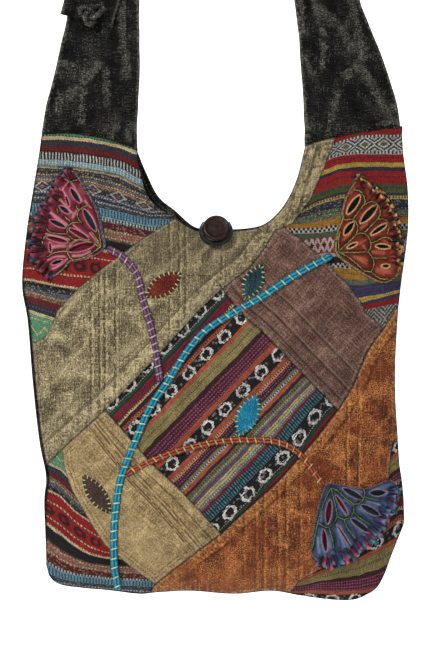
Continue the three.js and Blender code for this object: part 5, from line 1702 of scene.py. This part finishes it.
# Flowers: outline, ruffled rim, slits (from, to, width, tone), rolled ridges (line, half width), sewn lines.
FLOWERS = {
    "russet": {
        "out": BASE_OUT, "tip": (337, 253), "shift": (-1.6, 0.6),
        "outline": [
            (336.5, 253), (336, 240), (339, 227), (342.5, 219), (342, 212), (344, 204), (346.5, 196),
            (350, 189), (354, 183), (358, 177), (364, 181), (370, 188), (378, 192), (384, 199), (389, 206),
            (393, 213), (396, 222), (398, 232), (399, 245), (400, 258), (400, 268), (396, 277), (385, 283),
            (371, 278.5), (352, 266.5),
        ],
        "rim": [
            (354, 178), (359, 176), (365, 180), (371, 187), (379, 190.5), (385, 197.5), (390, 205.5),
            (394, 213), (396.5, 222), (398.5, 232), (399, 245), (400, 258), (399, 268),
        ],
        "slits": [
            ((348, 213), (359.5, 196.5), 5.6, 1), ((361.5, 222), (376.5, 206), 6, 1),
            ((345, 234), (353, 223), 5, 1), ((372, 234), (386, 224.5), 3.4, 1),
            ((348, 247.5), (356.5, 243.5), 2.4, 1), ((377, 246), (389, 247), 3.6, 1),
            ((382.5, 266), (389, 266), 2.6, 1),
        ],
        "ridges": [
            ([(361, 228), (367, 224)], 2.2), ([(355, 257), (366, 261)], 3.4),
            ([(373, 252), (384, 253)], 2.6), ([(378, 270), (388, 272)], 3.4),
            ([(344, 240), (350, 234)], 1.6), ([(356, 245), (366, 240)], 1.1),
            ([(364, 246), (366, 250)], 1.8), ([(350, 194), (355, 188)], 1.3),
            ([(384, 240), (388, 243)], 1.4),
        ],
        "lines": [
            [(354, 190), (360, 191), (364, 197), (365, 203), (362, 207), (357, 214), (353, 219)],
            [(364, 205), (371, 201.5), (377, 204), (380, 210), (379, 217), (371, 226), (365, 232)],
            [(344, 220), (353, 219.5), (357, 224), (357.5, 231), (354, 237), (349, 242), (340, 250)],
            [(378, 219), (383, 219), (388, 222), (389, 228), (387, 234)],
            [(350, 241), (355, 236), (360, 233), (366, 234.5), (370, 240), (371, 247), (368, 251.5)],
            [(371, 243), (377, 241), (382, 238), (388, 237.5), (393, 241)],
            [(339, 252), (355, 252.5), (367, 252), (371, 255.5), (374, 258), (380, 258), (387, 258)],
            [(339, 252), (348, 257), (357, 264), (364, 270.5), (371, 272), (376, 276), (382, 279),
             (388, 279)],
            [(371, 255.5), (374, 262), (373, 268), (371, 272)], [(339, 252), (338.5, 240), (340.5, 231)],
        ],
        "stops": [(42, 12, 9), (86, 25, 17), (118, 40, 27), (164, 88, 60)],
        "slit_low": (20, 36, 40), "slit_high": (20, 36, 40), "fray": (216, 176, 116),
        "light": (168, 96, 70), "wear_and_highlight": 0.5,
        "under": (110, 94, 56), "lip": 2.2, "deep": 7.5, "rise": 0.4, "lobes": 1.0, "thread": "lime",
        "ruffles": [
            ((98, 32, 22), (190, 144, 88)), ((52, 20, 16), (176, 128, 74)), ((22, 36, 40), (70, 60, 48)),
        ],
    },
    "burgundy": {
        "out": BASE_OUT, "tip": (104, 248), "shift": (2.2, -0.8),
        "outline": [
            (103.5, 248), (101.5, 232), (99, 218), (95, 206), (90, 197), (85, 189), (79.5, 179), (73, 171),
            (66, 171), (59, 179), (53, 190), (46, 203), (40, 213), (36, 224), (35, 236), (33.5, 249),
            (36, 261), (42, 270), (51, 276.5), (57, 275), (63, 270), (70, 262.5), (80, 261), (92, 257.5),
        ],
        "rim": [
            (70, 169), (62, 174), (55, 185), (48, 199), (41, 210), (36, 221), (34.5, 235), (32.5, 249),
            (35, 261), (42, 271), (51, 277.5),
        ],
        "slits": [
            ((71, 189), (79.5, 202), 4.6, 1), ((84, 210), (95.5, 230.5), 5.6, 1),
            ((60, 206.5), (69, 213), 4, 1), ((50.5, 220.5), (65, 227), 4, 1),
            ((70, 229), (88, 239), 4.2, 0), ((69, 250.5), (94, 244), 7, 0), ((47, 237), (67, 242), 4, 0),
            ((52, 264), (62, 260.5), 3, 1), ((66, 196), (69, 206), 2, 0), ((50, 243), (51, 252), 2, 0),
        ],
        "ridges": [
            ([(71, 182), (76, 190), (82, 201)], 1.6), ([(60, 199), (65, 205.5), (73, 213.5)], 1.6),
            ([(51, 213), (58, 218.5), (67, 225)], 2.5), ([(46, 234), (56, 236), (69, 239.5)], 1.8),
            ([(52, 247), (60, 246), (68, 246.5)], 2.8), ([(48, 260), (56, 256.5), (65, 256.5)], 1.5),
            ([(53, 269), (62, 264), (67, 259)], 1.7),
            ([(57, 274), (63, 269), (70, 261), (80, 259.5), (92, 255.5)], 1.5),
            ([(69, 247.5), (73, 242.5), (80, 239.8), (90, 242)], 1.4),
            ([(73, 256), (81, 255.5), (90, 251.5)], 2.2), ([(88, 211), (93, 219), (98.5, 230)], 1.6),
            ([(73, 225), (80, 230.5), (89, 236)], 1.3), ([(73, 217), (77, 211)], 2.4),
            ([(90, 233), (95, 239), (100, 246)], 1.6), ([(62, 190), (69, 181)], 1.3),
            ([(53, 188), (62, 190), (66, 196)], 1.3), ([(60, 175), (68, 181)], 1.3),
            ([(85, 201), (91, 208)], 1.3), ([(80, 184), (85, 194)], 1.1),
        ],
        "lines": [
            [(70, 183), (72, 181), (77, 180)], [(76, 206), (79, 210), (83, 207), (88, 205.5)],
            [(79, 210), (77, 215), (79, 220), (82, 223)], [(67, 234), (67.5, 228), (72, 223), (80, 222.5)],
            [(65, 217), (70, 221)], [(48, 218), (46, 224), (48, 231), (56, 233.5), (67, 234)],
            [(46, 235), (43, 240), (42, 247), (45, 250)], [(67, 234), (73, 239), (80, 240)],
            [(80, 239.5), (90, 242), (99, 246.5)], [(67, 251), (67.5, 246), (72, 242), (80, 239.5)],
            [(67, 251), (69, 256), (74, 260), (85, 257), (95, 251), (101, 246)],
            [(47, 257), (55, 252.5), (67, 251)], [(101, 246), (96, 238), (91, 231)],
            [(101, 246), (99.5, 236), (98, 228)], [(58, 213), (57, 206), (60, 199)],
            [(58, 273), (63, 269), (67, 265)],
        ],
        "stops": [(40, 8, 16), (86, 20, 36), (118, 38, 54), (150, 70, 86)],
        "slit_low": (128, 26, 44), "slit_high": (26, 48, 58), "fray": (196, 130, 140),
        "light": (200, 134, 142), "wear_and_highlight": 0.72,
        "under": (24, 62, 72), "lip": 1.5, "deep": 10.5, "rise": 1.2, "lobes": 1.6, "thread": "lime",
        # The second strip is the burgundy of the first made darker: painted shade under the first strip.
        "ruffles": [
            ((92, 24, 40), (150, 70, 86)), ((44, 10, 20), (112, 40, 56)), ((16, 42, 54), (32, 78, 92)),
        ],
    },
    "blue": {
        "out": PATCH_OUT + 0.9, "tip": (327, 483), "shift": (0.3, 2.2),
        "outline": [
            (327, 483.5), (340, 484), (354, 487), (365, 488.5), (375, 485), (384, 481), (391, 480),
            (396, 484), (395, 491), (394, 500), (391, 509), (386, 518), (382, 527), (375, 535),
            (367, 542.5), (357, 550), (347, 556), (337, 561), (328, 563), (319, 561), (312.5, 557),
            (310.5, 549), (312, 536), (315, 519), (318.5, 503), (323, 490),
        ],
        "rim": [
            (396, 487), (396, 499), (392, 510), (387, 520), (383, 529), (376, 537), (369, 544), (358, 552),
            (348, 559), (338, 564), (328, 566), (318, 563.5),
        ],
        "slits": [
            ((330, 501), (327.5, 523), 5.4, 0), ((323.5, 530), (326, 551), 4.4, 0),
            ((336, 496), (347.5, 514), 3.2, 0), ((337, 525), (351, 547), 1.6, 0),
            ((343.5, 488.5), (362.5, 499), 5.4, 1), ((370.5, 493), (385, 492.5), 6, 1),
            ((361.5, 505.5), (379, 515), 5.8, 1), ((351.5, 519), (369, 532), 4.8, 1),
        ],
        "ridges": [
            ([(322, 510), (321, 521)], 2.0), ([(318, 538), (319, 552)], 2.4),
            ([(331, 534), (331, 548)], 2.0), ([(339, 531), (344, 546)], 2.6),
            ([(341, 508), (346, 516)], 1.4), ([(350, 531), (357, 540)], 1.6),
            ([(328, 492), (325, 501)], 1.4), ([(368, 501), (380, 505)], 1.5),
            ([(350, 487), (362, 492)], 1.3), ([(363, 520), (372, 527)], 1.3),
            ([(344, 500), (352, 505)], 1.4),
        ],
        "lines": [
            [(331, 488), (325, 500), (320, 515), (318, 522), (315, 535), (312.5, 548)],
            [(331, 488), (334, 500), (337, 514), (336.5, 518), (333, 524), (327, 527.5), (319, 523.5)],
            [(338, 517), (344, 519.5), (350, 517), (353.5, 512), (353, 504), (345, 498), (338, 491),
             (332, 488)],
            [(352, 504), (358, 504), (363, 500), (364.5, 494), (364, 489)],
            [(344, 520), (348, 529), (355, 538)], [(329, 528), (332, 538), (334, 549)],
            [(354, 512), (361, 519), (371, 524.5)], [(365, 497), (372, 499), (379, 500.5)],
        ],
        "stops": [(20, 26, 40), (44, 55, 78), (66, 80, 108), (108, 122, 148)],
        "slit_low": (120, 28, 48), "slit_high": (22, 58, 62), "fray": (178, 128, 140),
        "light": (120, 134, 160), "wear_and_highlight": 0.45,
        "under": (30, 76, 84), "lip": 1.25, "deep": 11.0, "rise": 2.6, "lobes": 1.4, "thread": "green",
        "ruffles": [
            ((48, 60, 96), (108, 118, 154)), ((124, 36, 58), (176, 92, 112)), ((18, 56, 64), (36, 98, 106)),
        ],
    },
}
THREADS = {
    "lime": yarn("lime_thread", (178, 174, 92), (106, 104, 50)),
    "green": yarn("green_thread", (124, 164, 92), (66, 100, 60)),
}
# Gathers along a rim: their period, how far in they reach, and the spacing of points that finds them.
RIM_PERIOD, RIM_REACH, RIM_STEP = 5.6, 13.0, 0.8
LOBE_TURN = 11.0
FRILL_COLUMNS = 11
PETAL_SPACING, UNDER_SPACING = 0.72, 1.6
# How the under cloth's edge rolls over, as depth and reach.
UNDER_ROLL = (0.5, 1.0)
# Gap between the links of a chain stitch, and their thickness.
CHAIN_GAP, CHAIN_THICK = 2.1, 0.54
# A distance that stands for nothing near.
FAR = 99.0
frill_noise = Noise(53)


def petal_cotton(name, look):
    """Gathered cotton, grained along the fan, frayed along every cut edge; painted lighter on its puffs and
    ridges, with painted shade in its slits and beside its stitches.
    """
    m = Shade(name)
    across, down, slit = (m.attr(label) for label in ("across", "down", "slit"))
    grain = m.noise(m.attr("fan") * 26.0, m.attr("reach") * 0.07)
    cloud = m.noise(across * 0.11, down * 0.11, 4.0)
    fine = m.cells(across * 1.1, down * 1.1)
    # The puff term paints high ground lighter and low ground darker: painted light and shade.
    value = grain * 0.7 + cloud * 0.4 + fine * 0.15 + m.attr("puff") * 0.95 - 0.75
    colour = m.even_ramp(value, look["stops"])
    thread = m.noise(across * 0.9, down * 0.9, 8.0)
    # Painted highlight along the rolled ridges, in the flower's light colour.
    roll = m.attr("ridge").ease(0.45, 0.95) * (thread * 0.6 + grain * 0.6).ease(0.4, 0.66)
    colour = m.mix(roll * look["wear_and_highlight"], colour, linear(look["light"]))
    rim = (1.0 - slit.ease(look["lip"] * 0.45, look["lip"])) * (slit > 0.0)
    colour = m.mix(rim * thread.ease(0.36, 0.56) * 0.85, colour, linear(look["fray"]))
    # Inside a slit the lining's own colour is mixed with near black: painted shade in the slit.
    hollow = 1.0 - slit.ease(-0.5, 0.2)
    lining = m.mix(m.attr("tone"), linear(look["slit_low"]), linear(look["slit_high"]))
    colour = m.mix(hollow, colour, m.mix(thread, linear((12, 10, 14)), lining))
    fray = (1.0 - m.attr("edge").ease(0.4, 2.0)) * thread.ease(0.42, 0.58)
    colour = m.mix(fray * 0.7, colour, linear(look["fray"]))
    # Painted shade beside the sewn lines.
    sunk = 1.0 - m.attr("sewn").ease(0.4, 2.0)
    colour = m.tint(colour, sunk * -0.55 + 1.0)
    m.bump(grain * 1.2 + fine * 0.4 + thread * 0.6, 0.5)
    return m.finish(colour, thread * 0.15 + 0.74, sheen=0.1)


def frill_cotton(name, inner, outer):
    """Gathered strip: inner colour at its foot, outer at its frayed edge, painted shade in its folds."""
    m = Shade(name)
    deep = m.attr("deep")
    run = m.attr("run")
    thread = m.noise(run * 1.2, deep * 3.0)
    colour = m.mix((deep + (thread - 0.5) * 0.5).ease(0.55, 0.95), linear(inner), linear(outer))
    cloud = m.noise(run * 0.2, deep * 1.5, 6.0)
    # Painted light and shade: darker in the folds, lighter where the gathers lift.
    colour = m.tint(colour, (cloud * 0.8 + 0.4) * (m.attr("fold").ease(0.25, 0.8) * 1.15 + 0.12))
    m.bump(thread + run.wave(0.45), 0.6)
    return m.finish(colour, thread * 0.15 + 0.76, sheen=0.1)


def make_frill(key, order):
    """A tightly gathered strip standing along a rim; the later ones lie lower and come in tufts."""
    look = FLOWERS[key]
    base = look["out"]
    reach = look["deep"]
    rim = curve(look["rim"], 0.55)
    run = lengths(rim)
    heading = unit(np.gradient(rim, axis=0))
    outward = np.stack([-heading[:, 1], heading[:, 0]], axis=1)
    middle = np.array(look["rim"], float).mean(axis=0)
    if np.mean(outward @ (middle - look["tip"])) < 0:
        outward = -outward
    level = run * 0
    uneven = 8.0 * frill_noise(run / 8, level + 5.5 * order)
    phase = 2 * math.pi * run / (6.4 + 1.6 * order) + uneven + 1.7 * order
    size = 1 + 0.9 * frill_noise(run / 3.4, level + 20 + order)
    if order > 0:
        size *= 0.2 + 1.15 * smooth(frill_noise(run / 6.5, level + 40 + 9 * order), -0.15, 0.2)
    turn = phase[:, None]
    size = size[:, None]
    deep = np.linspace(0, 1, FRILL_COLUMNS)
    aside = deep * reach - reach * 0.93 + 0.9 * order + 1.6 * np.sin(turn * 0.5 + 1.0) * deep
    aside = aside * (0.6 + 0.4 * size)
    slide = 2.9 * np.sin(2 * turn) * deep ** 1.2
    flat = rim[:, None] + outward[:, None] * aside[..., None] + heading[:, None] * slide[..., None]
    lift = base + 3.9 + look["rise"] - 0.8 * order + 2.7 * size * np.sin(turn) * deep ** 0.7
    lift += 1.3 * np.sin(turn * 1.7 + 2.0) * deep ** 2
    lift = np.maximum(lift - 0.9 * deep, base + 0.25)
    ends = np.minimum(1, np.minimum(run, run[-1] - run) / 3)[:, None]
    lift = base + 0.3 + (lift - base - 0.3) * (0.3 + 0.7 * ends)
    points = place(flat[..., 0].ravel(), flat[..., 1].ravel(), lift.ravel())
    # How high each point lifts, 0 to 1, which the frill material paints as light and shade.
    fold = 0.5 + 0.5 * np.sin(turn) * deep ** 0.5
    extra = {"run": np.repeat(run, FRILL_COLUMNS), "deep": np.tile(deep, len(run)), "fold": fold.ravel()}
    name = f"{key}_frill_{order}"
    faces = quads(len(run), FRILL_COLUMNS)
    return build_mesh(name, points, faces, frill_cotton(name, *look["ruffles"][order]), extra)


def slit_fields(points, slits):
    """Distance outside the nearest slit, below 0 within it, and that slit's tone."""
    nearest = np.full(len(points), FAR)
    tones = np.zeros(len(points))
    for start, end, width, tone in slits:
        line = np.array((start, end), float)
        run = line[1] - line[0]
        share = np.clip(((points - line[0]) @ run) / (run @ run), 0, 1)
        gap = away_line(points, line) - width / 2 * np.sqrt(np.maximum(0.05, np.sin(math.pi * share)))
        tones = np.where(gap < nearest, tone, tones)
        nearest = np.minimum(nearest, gap)
    return nearest, tones


def flower_fields(sheet, look):
    """What the shape and the cloth follow: the fan from the tip, slits, ridges, sewn lines, gathers."""
    tip = np.array(look["tip"], float)
    gap = sheet.flat - tip
    hub = np.array(look["rim"], float).mean(axis=0) - tip
    turn = np.arctan2(gap[:, 1], gap[:, 0]) - np.arctan2(hub[1], hub[0])
    fields = {"fan": (turn + math.pi) % (2 * math.pi) - math.pi, "reach": np.hypot(gap[:, 0], gap[:, 1])}
    fields["slit"], fields["tone"] = slit_fields(sheet.flat, look["slits"])
    ridges = [bell(away_line(sheet.flat, curve(line, 1.0)), half) for line, half in look["ridges"]]
    fields["ridge"] = np.max(ridges, axis=0)
    sewn = [away_line(sheet.flat, curve(line, 1.5)) for line in look["lines"]]
    fields["sewn"] = np.minimum(np.min(sewn, axis=0), FAR)
    fields["frill"], fields["pleat"] = rim_pleat(sheet.flat, look)
    return fields


def rim_pleat(points, look):
    """Distance from the ruffled rim, and the radial pleats that its gathers make, 0 in a valley to 1."""
    gap = np.full(len(points), 1e9)
    at = np.zeros(len(points))
    for k, spot in enumerate(curve(look["rim"], RIM_STEP)):
        far = np.hypot(points[:, 0] - spot[0], points[:, 1] - spot[1])
        at = np.where(far < gap, k * RIM_STEP, at)
        gap = np.minimum(gap, far)
    turn = math.pi * at / RIM_PERIOD + 1.2 * frill_noise(at / 9, at * 0 + 7.3)
    return gap, np.abs(np.cos(turn)) ** 1.3


def flower_height(sheet, fields, look):
    """Padded petals between the sewn lines, with lobes, lumps, a ruffled rim and sunk slits."""
    base = look["out"]
    reach = fields["reach"]
    slit = fields["slit"]
    turn = fields["fan"] * LOBE_TURN + 0.8 * frill_noise(reach / 14, fields["fan"] * 4)
    crease = look["lobes"] * (np.abs(np.cos(turn)) ** 0.6 - 0.7) * smooth(reach, 10, 40)
    puff = 3.6 * (1 - np.exp(-fields["sewn"] / 4.0)) * smooth(sheet.edge, 0, 5)
    lumps = 0.8 * frill_noise(sheet.across / 4.5, sheet.down / 4.5) + 1.5 * fields["ridge"]
    height = base + 1.3 + 1.2 * smooth(sheet.edge, 0, 3) + puff
    height += (crease + lumps) * smooth(sheet.edge, 0.5, 5)
    ruffle = smooth(RIM_REACH - fields["frill"], 0, RIM_REACH * 0.85)
    height += ruffle * (3.6 * fields["pleat"] - 2.2)
    height += 1.3 * bell(slit - 0.9, 1.0)
    height -= 3.4 * smooth(-slit, -0.4, 0.9)
    return np.maximum(height, base + 0.4)


def chain_runs(line, sheet, height):
    """Chain stitches on a flower: short plump links, each leaning a little across the line."""
    runs = []
    spots = curve(line, CHAIN_GAP)
    for k, (p, q) in enumerate(zip(spots[:-1], spots[1:])):
        way = q - p
        aside = np.array((-way[1], way[0])) * (0.16 if k % 2 else -0.16)
        start = p + aside - way * 0.12
        end = q - aside * 0.5 + way * 0.12
        near = [int(np.argmin(np.sum((sheet.flat - spot) ** 2, axis=1))) for spot in (p, q)]
        low, high = height[near] + 0.35
        runs.append(stitch_run(put_one(*start, low), put_one(*end, high), CHAIN_THICK * MM, 0.6))
    return runs


def scalloped(ring, look):
    """The outline drawn in and out along its rim, where the gathers pull it."""
    gap, pleat = rim_pleat(ring, look)
    depth = 4.0 * pleat - 3.2 + 1.4 * frill_noise(ring[:, 0] / 3, ring[:, 1] / 3)
    return ring + unit(ring - look["tip"]) * ((1 - smooth(gap, 1.5, 5)) * depth)[:, None]


def make_flower(key):
    """The gathered top cloth, a plain one under it, three frills along the rim and the chain stitches."""
    look = FLOWERS[key]
    base = look["out"]
    ring = closed_ring(curve(look["outline"], 0.75, closed=True), 0.8)
    sheet = Sheet([scalloped(ring, look)], PETAL_SPACING, seed=3)
    fields = flower_fields(sheet, look)
    height = flower_height(sheet, fields, look)
    # Share of the height, low to high, which the petal material paints as light and shade.
    low, high = np.percentile(height, (5, 95))
    fields["puff"] = np.clip((height - low) / (high - low), 0, 1)
    piece = lay(f"{key}_flower_cloth", sheet, height, base + 0.1, petal_cotton(f"{key}_petal", look), fields)
    under = Sheet([ring + look["shift"]], UNDER_SPACING)
    stops = [tuple(min(255, v * share) for v in look["under"]) for share in (0.5, 1, 1.5)]
    lower = lay(f"{key}_flower_under", under, base + 0.9 + rolled(under.edge, *UNDER_ROLL), base + 0.1,
                washed(f"{key}_under_cotton", stops))
    frills = [make_frill(key, order) for order in range(len(look["ruffles"]))]
    runs = []
    for line in look["lines"]:
        runs += chain_runs(line, sheet, height)
    thread = tubes(f"{key}_flower_stitches", runs, THREADS[look["thread"]])
    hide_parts(f"{key}_flower")


def paint(name, rgb):
    """A plain studio surface."""
    m = Shade(name)
    x, y, z = m.place()
    tone = m.noise(x * 3.0, y * 3.0, z)
    return m.finish(m.tint(linear(rgb), tone * 0.02 + 0.99), tone * 0.05 + 0.9, specular=0.0)


def stage_plane(name, corners):
    mesh = bpy.data.meshes.new(name)
    mesh.from_pydata(corners, [], [(0, 1, 2, 3)])
    mesh.materials.append(paint(name, PALE))
    plane = bpy.data.objects.new(name, mesh)
    bpy.context.scene.collection.objects.link(plane)


def area_light(name, where, towards, size, power):
    data = bpy.data.lights.new(name, "AREA")
    data.shape = "DISK"
    data.size = size
    data.energy = power
    lamp = bpy.data.objects.new(name, data)
    lamp.location = where
    lamp.rotation_euler = (Vector(towards) - Vector(where)).to_track_quat("-Z", "Y").to_euler()
    bpy.context.scene.collection.objects.link(lamp)


# The studio in metres: floor level, back wall, front edge, half width and top of the wall.
FLOOR_LEVEL, WALL_BACK, STAGE_FRONT, STAGE_WIDE, WALL_TOP = -1.02, 2.8, -3.5, 4.0, 3.0
PALE = (252, 252, 252)
BAG_MIDDLE = (0, 0, -0.66)
# Lamps: name, place, where it points, size, power.
LAMPS = [
    ("key", (-1.2, -1.7, 0.75), BAG_MIDDLE, 0.36, 44), ("fill", (1.7, -2.2, -0.1), BAG_MIDDLE, 2.0, 8),
    ("wall_wash", (0, 1.8, 1.6), (0, WALL_BACK, -0.7), 2.4, 110),
]
AMBIENT = 0.26
CAMERA_AT, CAMERA_HEIGHT, CAMERA_FAR = (-0.001, -2.0, -0.652), 0.646, 20


def make_stage():
    near_left = (-STAGE_WIDE, STAGE_FRONT, FLOOR_LEVEL)
    near_right = (STAGE_WIDE, STAGE_FRONT, FLOOR_LEVEL)
    far_right = (STAGE_WIDE, WALL_BACK, FLOOR_LEVEL)
    far_left = (-STAGE_WIDE, WALL_BACK, FLOOR_LEVEL)
    stage_plane("floor", [near_left, near_right, far_right, far_left])
    top = [(STAGE_WIDE, WALL_BACK, WALL_TOP), (-STAGE_WIDE, WALL_BACK, WALL_TOP)]
    stage_plane("backdrop", [far_left, far_right] + top)
    for lamp in LAMPS:
        area_light(*lamp)
    world = bpy.data.worlds.new("studio")
    world.use_nodes = True
    back = world.node_tree.nodes["Background"]
    back.inputs[0].default_value = (1, 1, 1, 1)
    back.inputs[1].default_value = AMBIENT
    bpy.context.scene.world = world


def make_camera():
    data = bpy.data.cameras.new("camera")
    data.type = "ORTHO"
    data.sensor_fit = "VERTICAL"
    data.ortho_scale = CAMERA_HEIGHT
    data.clip_end = CAMERA_FAR
    eye = bpy.data.objects.new("camera", data)
    eye.location = CAMERA_AT
    eye.rotation_euler = (math.radians(90), 0, 0)
    bpy.context.scene.collection.objects.link(eye)
    bpy.context.scene.camera = eye
    bpy.context.scene.view_settings.view_transform = "Standard"


make_bases()
make_patches()
make_back()
make_strap("long_strap", RIGHT_LEG + crown_rows() + LEFT_LEG)
make_strap("short_strap", SHORT_LEG)
make_knot()
for vine in VINES:
    make_vine(vine)
for leaf in LEAVES:
    make_leaf(leaf)
make_button()
make_loop()
for flower in FLOWERS:
    make_flower(flower)
make_stage()
make_camera()
